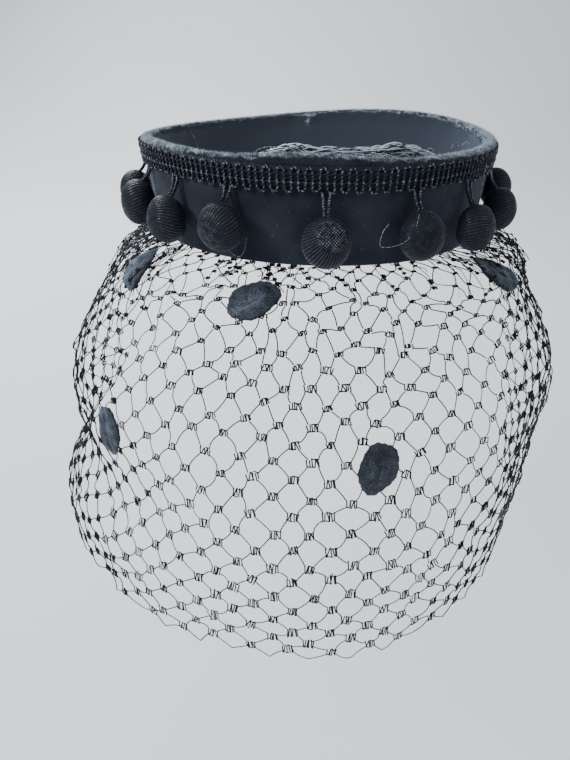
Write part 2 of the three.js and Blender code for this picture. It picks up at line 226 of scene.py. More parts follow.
def woven_stitches(finish):
    """Painted glints on the stitches of a basket weave, where the mesh says that the thread is
    woven.
    """
    turn = 2 * math.pi / WEAVE_PERIOD
    wobble = (finish.noise(700, 1.0) - 0.5) * WEAVE_WOBBLE
    over = (finish.attribute("weave_across") * turn + wobble).math("COSINE")
    under = (finish.attribute("weave_up") * turn - wobble).math("COSINE")
    stitch_glint = finish.noise(520, 2.0).between(0.36, 0.64)
    return (over * under).between(0.1, 0.75) * finish.attribute("woven_glint") * stitch_glint


def thread_finish(name, dark, light, roughness, glint, sheen=0.04, woven_glint=None):
    finish = Finish(name, Roughness=0.6, Sheen_Weight=sheen, Sheen_Roughness=0.3,
                    Sheen_Tint=rgb(0.6, 0.7, 0.85), Specular_IOR_Level=0.12,
                    Coat_Roughness=roughness)
    strands = finish.noise(1500, 3.0)
    # Proud turns are painted paler, part rubbed thread and part painted highlight, and the gaps
    # dark as painted shade; the same mask sets the glossy coat.
    rubbed_and_highlit = (finish.attribute("proud_highlight") + (strands - 0.5) * 1.3).between(0.55, 1.15)
    colour = finish.mix(rubbed_and_highlit, dark, light)
    shine = rubbed_and_highlit * glint
    relief = finish.noise(3800, 2.0)
    if woven_glint is not None:
        # The woven stitches are painted pale as painted glints.
        stitches = woven_stitches(finish)
        colour = finish.mix(stitches, colour, woven_glint)
        shine = shine + stitches * glint
        relief = relief + stitches * 2
    finish.feed("Base Color", colour)
    finish.feed("Coat Weight", shine)
    finish.bump(relief, 0.08, 0.8)
    return finish


# The second colour of each finish is a paler colour, painted on what stands out as a painted
# highlight.
cord = thread_finish("rayon_cord", rgb(0.014, 0.018, 0.027), rgb(0.25, 0.28, 0.34), 0.22, 0.9)
wrap = thread_finish("wrapped_thread", rgb(0.007, 0.009, 0.015), rgb(0.022, 0.027, 0.038),
                     0.2, 0.55, sheen=0.16, woven_glint=rgb(0.21, 0.235, 0.29))
netting = thread_finish("net_thread", rgb(0.009, 0.01, 0.014), rgb(0.14, 0.16, 0.2), 0.2, 0.8)
bundle = thread_finish("gathered_thread", rgb(0.03, 0.036, 0.05), rgb(0.58, 0.64, 0.74), 0.25, 0.9)

# %% [markdown]
# ## Flocked velvet for the dots
#
# The dots are small ovals of velvet, bluer and rougher than the ring. Their pile lies in clumps,
# so the colour changes from slate to near black over a millimetre or two, and a streak down the
# middle is painted pale as a painted highlight along its fold. How strong the streak is comes from
# an attribute of each dot. Another attribute paints it near black where it is pressed, and as
# painted shade in its crease, round its edge and on its underside.

# %% Dot finish
flock = Finish("dot_velvet", Roughness=0.95, Sheen_Weight=0.35, Sheen_Roughness=0.5,
               Sheen_Tint=rgb(0.6, 0.7, 0.85), Specular_IOR_Level=0.1)
clumps = flock.noise(230, 5.0)
tufts = flock.noise(2100, 4.0)
pressed_and_shaded = flock.attribute("wear_and_painted_light")
streak_highlight = flock.attribute("streak_highlight")
pale = flock.mix(streak_highlight, rgb(0.06, 0.07, 0.088), rgb(0.19, 0.23, 0.3))
slate = flock.mix((clumps * 0.4 + tufts * 0.6).between(0.4, 0.62), rgb(0.014, 0.018, 0.026), pale)
# Near black where the dot is pressed, and as painted shade in its crease, round its edge and
# underneath.
flock.feed("Base Color", flock.mix(pressed_and_shaded, slate, rgb(0.006, 0.008, 0.012)))
flock.bump(clumps * 0.4 + tufts * 0.7, 0.4, 1.0)

# %% [markdown]
# ## Small tools
#
# A few helpers are used by every piece. Some shape numbers softly: a fade between two edges, a
# bell, a sum of waves. One turns points into a mesh object, one sweeps a round section along many
# paths at once, and one hands a finished piece over to the frame.


# %% Soft shapes for numbers
def fade(value, edge):
    """Rises smoothly from 0 to 1 between the two values of edge."""
    share = np.clip((value - edge[0]) / (edge[1] - edge[0]), 0, 1)
    return share * share * (3 - 2 * share)


def bell(value, middle, width):
    return np.exp(-((value - middle) / width) ** 2)


def waves(rows, first, second, phase):
    """A sum of sines. A row holds the turns of first, of second and of phase, and the height."""
    return sum(high * np.sin(a * first + b * second + c * phase) for a, b, c, high in rows)


def turn_from(azimuth, middle):
    """Degrees from the middle to each azimuth, the short way round."""
    return (azimuth - middle + 180) % 360 - 180


def around(azimuth, middle, spread):
    return bell(turn_from(azimuth, middle), 0, spread)


# %% Helpers for meshes
def turn_point(azimuth, radius, height):
    """Points from azimuths in degrees (0 at the front, +X positive), radii and heights."""
    angle = np.radians(azimuth)
    sides = np.broadcast_arrays(radius * np.sin(angle), -radius * np.cos(angle), height)
    return np.stack(sides, -1)


def mark(piece, name, values):
    piece.data.attributes.new(name, "FLOAT", "POINT").data.foreach_set("value", values)


def mesh_object(name, points, faces, proud_highlight=None):
    mesh = bpy.data.meshes.new(name)
    mesh.from_pydata((np.asarray(points) * MM).tolist(), [], faces)
    mesh.update()
    made = add_object(name, mesh)
    if proud_highlight is not None:
        mark(made, "proud_highlight", proud_highlight)
    return made


def unit(vectors):
    return vectors / np.maximum(np.linalg.norm(vectors, axis=-1, keepdims=True), 1e-12)


def path_axes(paths, outward, closed):
    """Two unit vectors across each step of the paths, the first one near outward."""
    if closed:
        ahead = unit(np.roll(paths, -1, axis=1) - np.roll(paths, 1, axis=1))
    else:
        ahead = unit(np.gradient(paths, axis=1))
    side = unit(np.cross(ahead, outward))
    return np.cross(side, ahead), side


def sweep(paths, outward, radii, sides, closed=False):
    """Sweeps round sections along equally long paths: (count, steps, 3). outward is near the
    section's first axis. Returns points and faces of closed tubes."""
    paths = np.asarray(paths, float)
    count, steps, _ = paths.shape
    lift, side = path_axes(paths, outward, closed)
    angles = 2 * np.pi * np.arange(sides) / sides
    radii = np.broadcast_to(radii, (count, steps, sides))[..., None]
    ring = (np.cos(angles)[:, None] * lift[:, :, None] + np.sin(angles)[:, None] * side[:, :, None])
    points = (paths[:, :, None] + radii * ring).reshape(-1, 3)
    spans = steps if closed else steps - 1
    k = np.arange(sides)
    first = np.arange(spans)[:, None] * sides
    second = ((np.arange(spans) + 1) % steps)[:, None] * sides
    quads = np.stack([first + k, first + (k + 1) % sides, second + (k + 1) % sides, second + k], -1)
    every = (np.arange(count) * steps * sides)[:, None, None] + quads.reshape(1, -1, 4)
    faces = every.reshape(-1, 4).tolist()
    if not closed:
        for start in range(0, count * steps * sides, steps * sides):
            end = start + (steps - 1) * sides
            faces.append([start + int(n) for n in k[::-1]])
            faces.append([end + int(n) for n in k])
    return points, faces


def twist_plies(paths, outward, turns, ply_radius, ply_offset, sides, closed=False):
    """Two plies twisted round each other, as two parts: points, faces and how proud each point is,
    which sets its painted highlight.
    """
    count, steps, _ = paths.shape
    lift, side = path_axes(paths, outward, closed)
    angle = 2 * np.pi * turns * np.arange(steps) / (steps if closed else steps - 1)
    parts = []
    for phase in (0, np.pi):
        across = (np.cos(angle + phase)[None, :, None] * lift
                  + np.sin(angle + phase)[None, :, None] * side)
        points, faces = sweep(paths + ply_offset * across, outward, ply_radius, sides, closed)
        middle = np.repeat(paths.reshape(-1, 3), sides, axis=0)
        out_here = np.repeat(np.broadcast_to(outward, paths.shape).reshape(-1, 3), sides, axis=0)
        proud_highlight = ((points - middle) * out_here).sum(-1) / (ply_offset + ply_radius)
        parts.append((points, faces, np.clip(proud_highlight, 0, 1)))
    return parts


def sweep_threads(paths, outward, radius, sides, gloss_and_highlight):
    """Swept threads as one part. Each thread's gloss and painted highlight is spread over its
    points.
    """
    points, faces = sweep(paths, outward, radius, sides)
    return points, faces, np.repeat(gloss_and_highlight, len(points) // len(gloss_and_highlight))


def join_parts(parts):
    """Parts are points, faces and, where the finish needs it, how strong each point's painted
    highlight and glossy coat are.
    """
    points, faces, proud_highlight, start = [], [], [], 0
    for part_points, part_faces, *part_proud_highlight in parts:
        points.append(part_points)
        faces.extend([[start + n for n in face] for face in part_faces])
        proud_highlight.append(part_proud_highlight[0] if part_proud_highlight else np.zeros(len(part_points)))
        start += len(part_points)
    return np.concatenate(points), faces, np.concatenate(proud_highlight)


def only(piece):
    bpy.ops.object.select_all(action="DESELECT")
    piece.select_set(True)
    bpy.context.view_layer.objects.active = piece


def mesh_points(piece):
    flat = np.empty(len(piece.data.vertices) * 3)
    piece.data.vertices.foreach_get("co", flat)
    return flat.reshape(-1, 3) / MM


def set_points(piece, points):
    piece.data.vertices.foreach_set("co", (points * MM).ravel())
    piece.data.update()


def turn_out(piece):
    """Makes the faces of a closed piece point outwards."""
    only(piece)
    bpy.ops.object.mode_set(mode="EDIT")
    bpy.ops.mesh.select_all(action="SELECT")
    bpy.ops.mesh.normals_make_consistent(inside=False)
    bpy.ops.object.mode_set(mode="OBJECT")


def hand_over(piece, finish, slot, *nodes):
    piece.data.materials.clear()
    piece.data.materials.append(finish.material)
    piece.data.shade_smooth()
    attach(piece, "root")
    if nodes:
        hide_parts(*nodes)
    triangles = sum(len(face.vertices) - 2 for face in piece.data.polygons)
    print(piece.name, "has", triangles, "triangles")


def make_piece(name, parts, finish, slot, *nodes):
    """Joins parts into one mesh with its faces turned out, and hands it over."""
    piece = mesh_object(name, *join_parts(parts))
    turn_out(piece)
    hand_over(piece, finish, slot, *nodes)
    return piece


# %% [markdown]
# ## The ring's own shape
#
# The ring widens a little towards its rim and is slightly warped from wear. These few numbers are
# those of the solids, so every later piece can ask the ring where its wall is.

# %% The ring's sizes
CLEARANCE = 0.3
BAND_TOP_RADIUS = 77.5
BAND_FOOT_RADIUS = 73.0
BAND_HEIGHT = 38.0
BAND_WALL = 3.0
RIM_ROLL = 4.4
RIM_WAVES = [
    {"lobes": 2, "lift": 0.041, "peak": -38},
    {"lobes": 3, "lift": 0.013, "peak": 20},
]
RIM_SWELLS = [
    {"azimuth": -55, "spread": 30, "lift": 0.04, "crest": 0.014},
    {"azimuth": -1, "spread": 20, "lift": 0.008, "crest": 0.072},
    {"azimuth": 45, "spread": 24, "lift": 0.028, "crest": 0.01},
]


def rim_lift(azimuth):
    lift = 0.0
    for wave in RIM_WAVES:
        turn = np.radians(azimuth - wave["peak"])
        lift = lift + wave["lift"] * BAND_HEIGHT * np.cos(wave["lobes"] * turn)
    return lift


def rim_swell(azimuth, column):
    swell = 0.0
    for row in RIM_SWELLS:
        swell = swell + row[column] * BAND_HEIGHT * around(azimuth, row["azimuth"], row["spread"])
    return swell


def ring_height(azimuth, height):
    """Where a height on the flat pattern of the ring ends up once the ring is warped."""
    crest = np.clip((height - BAND_HEIGHT + RIM_ROLL) / RIM_ROLL, 0, 1)
    return (height + rim_lift(azimuth) + rim_swell(azimuth, "lift") * height / BAND_HEIGHT
            + rim_swell(azimuth, "crest") * crest)


def band_radius(height):
    return BAND_FOOT_RADIUS + (BAND_TOP_RADIUS - BAND_FOOT_RADIUS) * height / BAND_HEIGHT


# %% [markdown]
# ## The velvet ring
#
# A covered ring is a solid of revolution, so the shortest way is to draw its section once and spin
# it. The section starts as a circle of the right number of points, which are moved onto the wall's
# outline: straight up the outside, round the padded rim, and down the inside. After the spin the
# velvet gets what cloth has: small waves, and a lapped seam at the back.

# %% Draw the section
FOOT_ROUND = 0.9
WALL_START = 3
ROLL_RADIUS = RIM_ROLL / 2


def arc(centre, radius, start, end, count):
    angles = np.radians(np.linspace(start, end, count))
    return [(centre[0] + radius * math.cos(a), centre[1] + radius * math.sin(a)) for a in angles]


def wall(low, high, offset, count):
    return [(band_radius(h) - offset, h) for h in np.linspace(low, high, count)]


def band_outline():
    foot = BAND_FOOT_RADIUS
    roll_height = BAND_HEIGHT - ROLL_RADIUS
    roll_centre = (BAND_TOP_RADIUS - ROLL_RADIUS, roll_height)
    outline = arc((foot - FOOT_ROUND, FOOT_ROUND), FOOT_ROUND, -90, 0, 5)
    outline += wall(WALL_START, BAND_HEIGHT - RIM_ROLL * 0.9, 0, 12)
    outline += arc(roll_centre, ROLL_RADIUS, 0, 200, 16)
    outline += wall(BAND_HEIGHT - RIM_ROLL * 1.15, WALL_START, BAND_WALL, 12)
    outline += arc((foot - BAND_WALL + FOOT_ROUND, FOOT_ROUND), FOOT_ROUND, 180, 270, 5)
    return outline


outline = band_outline()
bpy.ops.object.select_all(action="DESELECT")
bpy.ops.mesh.primitive_circle_add(vertices=len(outline), radius=0.01)
band = bpy.context.object
band.name = "velvet_ring"
section = np.array([(radius, 0.0, height) for radius, height in outline])
set_points(band, section)

# %% Spin the section into a ring
BAND_STEPS = 288
bpy.ops.object.mode_set(mode="EDIT")
bpy.ops.mesh.select_all(action="SELECT")
bpy.ops.mesh.spin(steps=BAND_STEPS, angle=2 * math.pi, center=(0, 0, 0), axis=(0, 0, 1))
bpy.ops.mesh.select_all(action="SELECT")
bpy.ops.mesh.remove_doubles(threshold=0.00002)
bpy.ops.object.mode_set(mode="OBJECT")
turn_out(band)
print("ring has", len(band.data.vertices), "points")

# %% [markdown]
# ## Waves, puckers and the seam
#
# Velvet over buckram is never quite smooth. The wall gets soft waves a fraction of a millimetre
# deep, the rim an uneven edge, and the back a lap where one end of the strip was turned under.

# %% Shape the velvet
SEAM_AZIMUTH = -176.0
SEAM_WIDTH = 7.0
SEAM_RAISE = 0.9
WALL_WAVES = [(7, 0.12, 0, 0.16), (13, -0.2, 1, 0.12), (29, 0.3, 2, 0.08)]
RAGGED_RIM = [(31, 0, 2, 0.3), (67, 0, 0, 0.22)]


def soft_waves(azimuth, height):
    return waves(WALL_WAVES, np.radians(azimuth), height, 1)


def seam_lap(azimuth):
    away = turn_from(azimuth, SEAM_AZIMUTH)
    rise = 1 / (1 + np.exp(-(away + SEAM_WIDTH / 2) * 2.2))
    fall = 1 / (1 + np.exp((away - SEAM_WIDTH / 2) * 0.8))
    return SEAM_RAISE * rise * fall


def rim_share(height):
    return np.clip((height - (BAND_HEIGHT - RIM_ROLL * 1.3)) / RIM_ROLL, 0, 1)


points = mesh_points(band)
azimuth = np.degrees(np.arctan2(points[:, 0], -points[:, 1]))
radius = np.hypot(points[:, 0], points[:, 1])
height = points[:, 2].copy()
inside = radius < band_radius(height) - BAND_WALL / 2
out = np.where(inside, -1.0, 1.0)
grow = soft_waves(azimuth, height) * (1 - 0.3 * rim_share(height)) + out * seam_lap(azimuth) * 0.7
drop = (waves(RAGGED_RIM, np.radians(azimuth), 0, 1)
        - seam_lap(azimuth) * 0.9) * rim_share(height)
set_points(band, turn_point(azimuth, radius + grow * np.minimum(1, height / 4),
                            ring_height(azimuth, height) + drop))

# %% Mark where the pile is worn and where light is painted
WEAR_AND_HIGHLIGHT_DEPTH = 1.0
HANDLED_DEPTH = 2.6
HANDLED_AZIMUTH = 68.0
HANDLED_SPREAD = 26.0
RUBBED_AZIMUTH = 104.0
PALE_PATCH_FROM = 26.0


def handled(azimuth):
    """The ring is taken by its two sides, so the rim is worn further down there."""
    return bell(np.abs(azimuth), HANDLED_AZIMUTH, HANDLED_SPREAD)


def pale_patch(middle, spread, climb, most):
    """Paler pile round one azimuth, more and more from a given height upwards: a rubbed patch, and
    at the seam a painted highlight.
    """
    return most * around(azimuth, middle, spread) * np.clip((height - PALE_PATCH_FROM) / climb, 0, 1)


# The top of the rim is painted paler, further down inside and at the sides: worn pile, and a
# painted highlight along the top where the rim catches the light.
wear_and_highlight_depth = WEAR_AND_HIGHLIGHT_DEPTH * np.where(inside, 1.5, 1.0) + HANDLED_DEPTH * handled(azimuth)
wear_and_painted_light = np.clip((height - BAND_HEIGHT + wear_and_highlight_depth) / wear_and_highlight_depth, 0, 1)
# A rubbed patch towards the right side, and a painted highlight on the folded edge of the lapped
# seam.
rubs_and_seam_highlight = np.maximum(pale_patch(RUBBED_AZIMUTH, 24, 12, 0.45), pale_patch(SEAM_AZIMUTH, 1.6, 8, 0.75))
mark(band, "wear_and_painted_light", wear_and_painted_light + np.where(inside, 1.0, 0.25) * rubs_and_seam_highlight)
# Marks the inner wall, which is painted a little paler as painted light.
mark(band, "painted_light_inside", inside.astype(float))
hand_over(band, velvet, "velvet", "crown_band")

# %% [markdown]
# ## The nap along the rim
#
# Close up the rim isn't a line: its pile stands up and makes a soft, pale edge. Thousands of short,
# tapering tufts do that better than any bump, because they change the outline too.

# %% Plant the nap
NAP_TUFTS = 24000
NAP_LENGTH = 1.05
NAP_BASE = 0.11
NAP_TURN = (90, 42)
NAP_LEAN = 0.45
tuft_azimuth = chance.uniform(-180, 180, NAP_TUFTS)
tuft_turn = np.radians(np.clip(chance.normal(*NAP_TURN, NAP_TUFTS), -5, 190))
root_radius = BAND_TOP_RADIUS - ROLL_RADIUS + ROLL_RADIUS * np.cos(tuft_turn)
root_height = BAND_HEIGHT - ROLL_RADIUS + ROLL_RADIUS * np.sin(tuft_turn)
roots = turn_point(tuft_azimuth, root_radius + soft_waves(tuft_azimuth, BAND_HEIGHT) * 0.7,
                   ring_height(tuft_azimuth, root_height))
out_radial = turn_point(tuft_azimuth, 1.0, 0.0)
upward = np.array([0.0, 0.0, 1.0])
lean = unit(out_radial * np.cos(tuft_turn)[:, None] + upward * np.sin(tuft_turn)[:, None]
            + chance.normal(0, NAP_LEAN, (NAP_TUFTS, 3)))
lint = 1 + 0.8 * around(tuft_azimuth, 78, 22)
length = NAP_LENGTH * chance.uniform(0.4, 1.3, (NAP_TUFTS, 1)) * lint[:, None]
across = unit(np.cross(lean, chance.normal(0, 1, (NAP_TUFTS, 3))))
along = np.cross(lean, across)
corners = [roots + NAP_BASE * (across * math.cos(a) + along * math.sin(a)) - lean * 0.1
           for a in (0, 2 * math.pi / 3, 4 * math.pi / 3)]
tufts_points = np.stack(corners + [roots + lean * length], axis=1).reshape(-1, 3)
pattern = np.array([[0, 2, 1], [0, 1, 3], [1, 2, 3], [2, 0, 3]])
tuft_faces = (np.arange(NAP_TUFTS)[:, None, None] * 4 + pattern).reshape(-1, 3).tolist()
nap_piece = mesh_object("rim_nap", tufts_points, tuft_faces)
# Tufts standing up on the top of the rim are painted paler: worn pile, and a painted highlight
# where the rim catches the light.
tuft_wear_and_highlight = np.clip(np.sin(tuft_turn) * 4 - 3 + 2.4 * handled(tuft_azimuth), 0.05, 1)
tuft_wear_and_highlight = tuft_wear_and_highlight * chance.uniform(0.6, 1.2, NAP_TUFTS)
mark(nap_piece, "wear_and_painted_light", np.repeat(tuft_wear_and_highlight, 4))
hand_over(nap_piece, velvet, "velvet")

# %% [markdown]
# ## The gimp braid
#
# A gimp is one corded thread laid in a serpentine, down and up, and held by finer threads along its
# length. Each turn at the bottom hangs out as a small loop, the picot. One down-and-up of the
# cord is worked out flat, with the twist of its two plies, and then laid all round the ring.

# %% The serpentine cord
GIMP_TOP = 0.5
GIMP_WIDTH = 8.3
PICOT_PITCH = 5.0
PICOT_DROP = 1.6
CORD_RADIUS = 0.72
TWISTS_PER_LOOP = 7
GIMP_HIGH = BAND_HEIGHT - GIMP_TOP
GIMP_LOW = GIMP_HIGH - GIMP_WIDTH
PICOT_LOW = GIMP_LOW - PICOT_DROP
picots = round(2 * math.pi * BAND_TOP_RADIUS / PICOT_PITCH)
pitch = 360 / picots


def braid_lift(azimuth):
    """How far the warp of the ring lifts the braid, which keeps its width."""
    return rim_lift(azimuth) + rim_swell(azimuth, "lift") * GIMP_HIGH / BAND_HEIGHT


def serpentine(share):
    """Across (in loops) and height of the cord, share of the way through one down-and-up."""
    bend = PICOT_PITCH / 4
    straight = GIMP_HIGH - PICOT_LOW - 2 * bend - 2 * CORD_RADIUS
    curve = math.pi * bend
    walk = share * 2 * (straight + curve)
    high = GIMP_HIGH - CORD_RADIUS - bend
    low = high - straight
    if walk < straight:
        return -bend, high - walk
    if walk < straight + curve:
        turn = (walk - straight) / bend
        return -bend * math.cos(turn), low - bend * math.sin(turn)
    if walk < 2 * straight + curve:
        return bend, low + walk - straight - curve
    turn = (walk - 2 * straight - curve) / bend
    return 2 * bend - bend * math.cos(turn), high + bend * math.sin(turn)


LOOP_STEPS = 56
loop_shape = [serpentine(n / LOOP_STEPS) for n in range(LOOP_STEPS)]
cord_azimuth, cord_height = [], []
for n in range(picots):
    for across_mm, level in loop_shape:
        cord_azimuth.append((n + across_mm / PICOT_PITCH) * pitch)
        cord_height.append(level)
cord_azimuth = np.array(cord_azimuth)
cord_height = np.array(cord_height)
uneven = chance.normal(0, 1, picots)
slack = np.repeat(uneven, LOOP_STEPS) * np.clip((GIMP_LOW + 1 - cord_height) / PICOT_DROP, 0, 1)
cord_path = turn_point(cord_azimuth + slack * 0.18,
                       band_radius(cord_height) + CLEARANCE + CORD_RADIUS + 0.1,
                       cord_height + braid_lift(cord_azimuth) - slack * 0.25)

# %% Twist the two plies
PLY_SHARE = 0.52
PLY_SIDES = 5
cord_out = turn_point(cord_azimuth, 1.0, 0.0)[None]
plies = twist_plies(cord_path[None], cord_out, TWISTS_PER_LOOP * picots, CORD_RADIUS * PLY_SHARE,
                    CORD_RADIUS * (1 - PLY_SHARE), PLY_SIDES, closed=True)
from_middle = np.abs(cord_height - (GIMP_HIGH + PICOT_LOW) / 2) / (GIMP_HIGH - PICOT_LOW) * 2
# The turns at the top and bottom of the serpentine get a stronger painted highlight, as rows of
# glints.
turn_highlight = np.repeat(0.84 + 0.2 * from_middle ** 4, PLY_SIDES)
gimp_parts = [(points, faces, proud_highlight * turn_highlight) for points, faces, proud_highlight in plies]

# %% The threads that hold the cord, and the woven strip behind it
# Level of each holding thread across the braid, and the painted highlight on its crossings.
BINDING_LEVELS = {0.3: 0.85, 0.66: 0.6}
BINDING_RADIUS = 0.34
BINDING_STEPS = 8
BINDING_SIDES = 5
BACKING_DEPTH = 0.45


def binding_thread(level, shine):
    steps = picots * BINDING_STEPS
    turn = np.arange(steps) * 360 / steps
    high = GIMP_LOW + level * GIMP_WIDTH
    weaving = 4 * np.pi * np.arange(steps) / BINDING_STEPS
    over = 0.5 + 0.5 * np.cos(weaving + np.pi)
    reach = band_radius(high) + CLEARANCE + CORD_RADIUS * (1.05 + 1.0 * over)
    path = turn_point(turn, reach, high + 0.16 * np.sin(weaving) + braid_lift(turn))
    points, faces = sweep(path[None], turn_point(turn, 1.0, 0.0)[None], BINDING_RADIUS,
                          BINDING_SIDES, closed=True)
    return points, faces, np.repeat(over * shine, BINDING_SIDES)


def backing_strip():
    steps = 2 * picots
    turn = np.arange(steps) * 360 / steps
    high, low = GIMP_HIGH - 0.4, GIMP_LOW + 0.2
    corners = ((high, 0.0), (high, BACKING_DEPTH), (low, BACKING_DEPTH), (low, 0.0))
    rows = [turn_point(turn, band_radius(level) + CLEARANCE + reach, level + braid_lift(turn))
            for level, reach in corners]
    points = np.stack(rows, axis=1).reshape(-1, 3)
    faces = []
    for n in range(steps):
        here, there = 4 * n, 4 * ((n + 1) % steps)
        for k in range(4):
            faces.append([here + k, here + (k + 1) % 4, there + (k + 1) % 4, there + k])
    return points, faces


gimp_parts += [binding_thread(level, shine) for level, shine in BINDING_LEVELS.items()]
gimp_parts.append(backing_strip())
make_piece("gimp_cords", gimp_parts, cord, "braid", "gimp_braid")

# %% [markdown]
# ## The wrapped balls
#
# Each ball is a flattened core wound with thread. Over the edge the strands run straight, like
# spokes, and round a hub on the crown they cross in a basket weave of small stitches, which get
# pale painted highlights as glints. The spokes are modelled on a sphere whose segments lie where
# they need them. The stitches are finer than its faces, so the finish draws them, in two
# attributes that measure the hub across and up. The crowns of the strands are painted paler and
# their grooves darker, as painted highlight and painted shade. Each ball is a copy, turned and
# swirled its own way, and the front one is wound the most loosely and has the brightest painted
# glints on its stitches.

# %% Relief of one ball
BALL_RADIUS = 9.2
BALL_HALF_DEPTH = 7.4
BALL_SPOKES = 44
WEAVE_PITCH = math.radians(8.6)
WEAVE_RELIEF = 0.25
WRAP_RELIEF = 0.5
TIGHT_RELIEF = 0.26
BALL_SEGMENTS = 4 * BALL_SPOKES
BALL_RINGS = 46
HUB_CROWDING = 1.45
WEAVE_EDGE = (math.radians(35), math.radians(46))
HUB_EDGE = (math.radians(6), math.radians(12))

bpy.ops.object.select_all(action="DESELECT")
bpy.ops.mesh.primitive_uv_sphere_add(segments=BALL_SEGMENTS, ring_count=BALL_RINGS, radius=MM)
pattern_ball = bpy.context.object
pattern_ball.name = "ball_pattern"
sphere = mesh_points(pattern_ball)
polar = np.arccos(np.clip(sphere[:, 2], -1, 1))
spoke = np.arctan2(sphere[:, 1], sphere[:, 0])
polar = np.pi * (polar / np.pi) ** HUB_CROWDING
crossing = np.cos(np.pi * polar / WEAVE_PITCH) * np.cos(BALL_SPOKES / 2 * spoke)
weave = 0.5 + WEAVE_RELIEF * crossing
spokes = np.abs(np.cos(BALL_SPOKES / 2 * spoke)) ** 0.8
to_spokes = fade(polar, WEAVE_EDGE)
seat = np.clip((np.cos(polar) + 0.97) / 0.1, 0, 1)
relief = (weave * (1 - to_spokes) * fade(polar, HUB_EDGE) + spokes * to_spokes) * seat


# %% Hang the balls
BALLS = 16
MOST_SWIRL = 0.5
BALL_TILT = math.radians(24)
FRONT_TILT = (math.radians(62), math.radians(38))
CORE_SHARE = 0.97
LUMP = 0.015
TIGHT_SHINE = 0.9


def ball_frame(node):
    low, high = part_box(node)
    centre = (np.array(low) + np.array(high)) / 2 / MM
    azimuth = math.degrees(math.atan2(centre[0], -centre[1]))
    return centre, azimuth


def rotation_about(axis, angle):
    return np.array(Matrix.Rotation(angle, 3, axis))


def ball_direction(roll):
    return np.stack([np.sin(polar) * np.cos(roll), np.sin(polar) * np.sin(roll), np.cos(polar)], -1)


def make_ball(number):
    node = f"ball_{number:02d}"
    front = number == 1
    centre, azimuth = ball_frame(node)
    swirl = chance.uniform(-1, 1) * MOST_SWIRL
    roll = spoke + chance.uniform(0, 2 * math.pi) + swirl * polar
    tilt_way, tilt_by = FRONT_TILT if front else (chance.uniform(0, 2 * math.pi), BALL_TILT)
    tilt = rotation_about(Vector((-math.sin(tilt_way), math.cos(tilt_way), 0)), tilt_by)
    turned = ball_direction(roll) @ tilt.T
    shape = turned * np.array([BALL_RADIUS, BALL_RADIUS, BALL_HALF_DEPTH]) * CORE_SHARE
    lump = 1 + LUMP * np.sin(3 * turned[:, 0] + number) + LUMP * np.sin(4 * turned[:, 1] - number)
    depth = WRAP_RELIEF if front else TIGHT_RELIEF
    shape = shape * lump[:, None] + turned * (depth * (relief - 0.5))[:, None]
    out = turn_point(azimuth, 1.0, 0.0)
    side = np.cross(upward, out)
    placed = centre + shape[:, :1] * side + shape[:, 1:2] * upward + shape[:, 2:] * out
    ball = add_object(f"wrapped_{node}", pattern_ball.data.copy())
    set_points(ball, placed)
    # Strand crowns get a painted highlight and grooves painted shade, weaker on the tightly wound
    # balls.
    mark(ball, "proud_highlight", relief if front else relief * TIGHT_SHINE)
    # Each ball's stitches get their own level of painted glints; the front ball's are brightest.
    stitch_glint = 1.0 if front else 0.28 + 0.16 * math.sin(2.4 * number)
    mark(ball, "woven_glint", stitch_glint * (1 - to_spokes))
    mark(ball, "weave_across", BALL_RADIUS * polar * np.cos(roll))
    mark(ball, "weave_up", BALL_RADIUS * polar * np.sin(roll))
    hand_over(ball, wrap, "braid", node)


for number in range(1, BALLS + 1):
    make_ball(number)
bpy.data.objects.remove(pattern_ball)

# %% [markdown]
# ## The cords that the balls hang on
#
# Each ball hangs on two thin twisted cords side by side, from the braid's lower edge down to the
# ball. They are swept as the gimp's cord is, and run where the solids' loops run.

# %% Hang the twin cords
HANGER_RADIUS = 0.74
HANGER_GAP = 0.8
HANGER_STEPS = 58
HANGER_LAY = 1.9
HANGER_FLARE = 0.7
HANGER_TUCKS = (1.2, 0.7)
HANGER_OFF_WALL = 0.9
HANGER_ENTRY = 0.35


def hanger_path(azimuth, top, bottom, reach_top, reach_bottom, side):
    share = np.linspace(0, 1, HANGER_STEPS)
    level = top + (bottom - top) * share
    reach = reach_top + (reach_bottom - reach_top) * share ** 2
    spread = side * (HANGER_GAP + HANGER_FLARE * (1 - share) ** 2)
    return turn_point(azimuth + np.degrees(spread / reach), reach, level)


def make_hanger(number):
    node = f"ball_loop_{number:02d}"
    low, high = (np.array(corner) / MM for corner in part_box(node))
    centre, azimuth = ball_frame(f"ball_{number:02d}")
    top = high[2] + HANGER_TUCKS[0]
    bottom = low[2] - HANGER_TUCKS[1]
    reach_top = float(band_radius(PICOT_LOW)) + CLEARANCE + HANGER_OFF_WALL
    reach_bottom = float(np.hypot(centre[0], centre[1])) - BALL_HALF_DEPTH * HANGER_ENTRY
    parts = []
    for side in (-1, 1):
        path = hanger_path(azimuth, top, bottom, reach_top, reach_bottom, side)
        out = np.broadcast_to(turn_point(azimuth, 1.0, 0.0), path.shape)
        parts += twist_plies(path[None], out[None], (top - bottom) / HANGER_LAY,
                             HANGER_RADIUS * PLY_SHARE, HANGER_RADIUS * (1 - PLY_SHARE), PLY_SIDES)
    make_piece(f"twin_cord_{number:02d}", parts, cord, "braid", node)


for number in range(1, BALLS + 1):
    make_hanger(number)

# %% [markdown]
# ## The veil's surface
#
# The veil is a strip of stiff net, gathered inside the ring, that stands well out below it. Its
# surface is given by sections from the heading to the lower edge. Each row says how far down it is
# and how far it stands from the ring's axis at the front, at either side and behind.

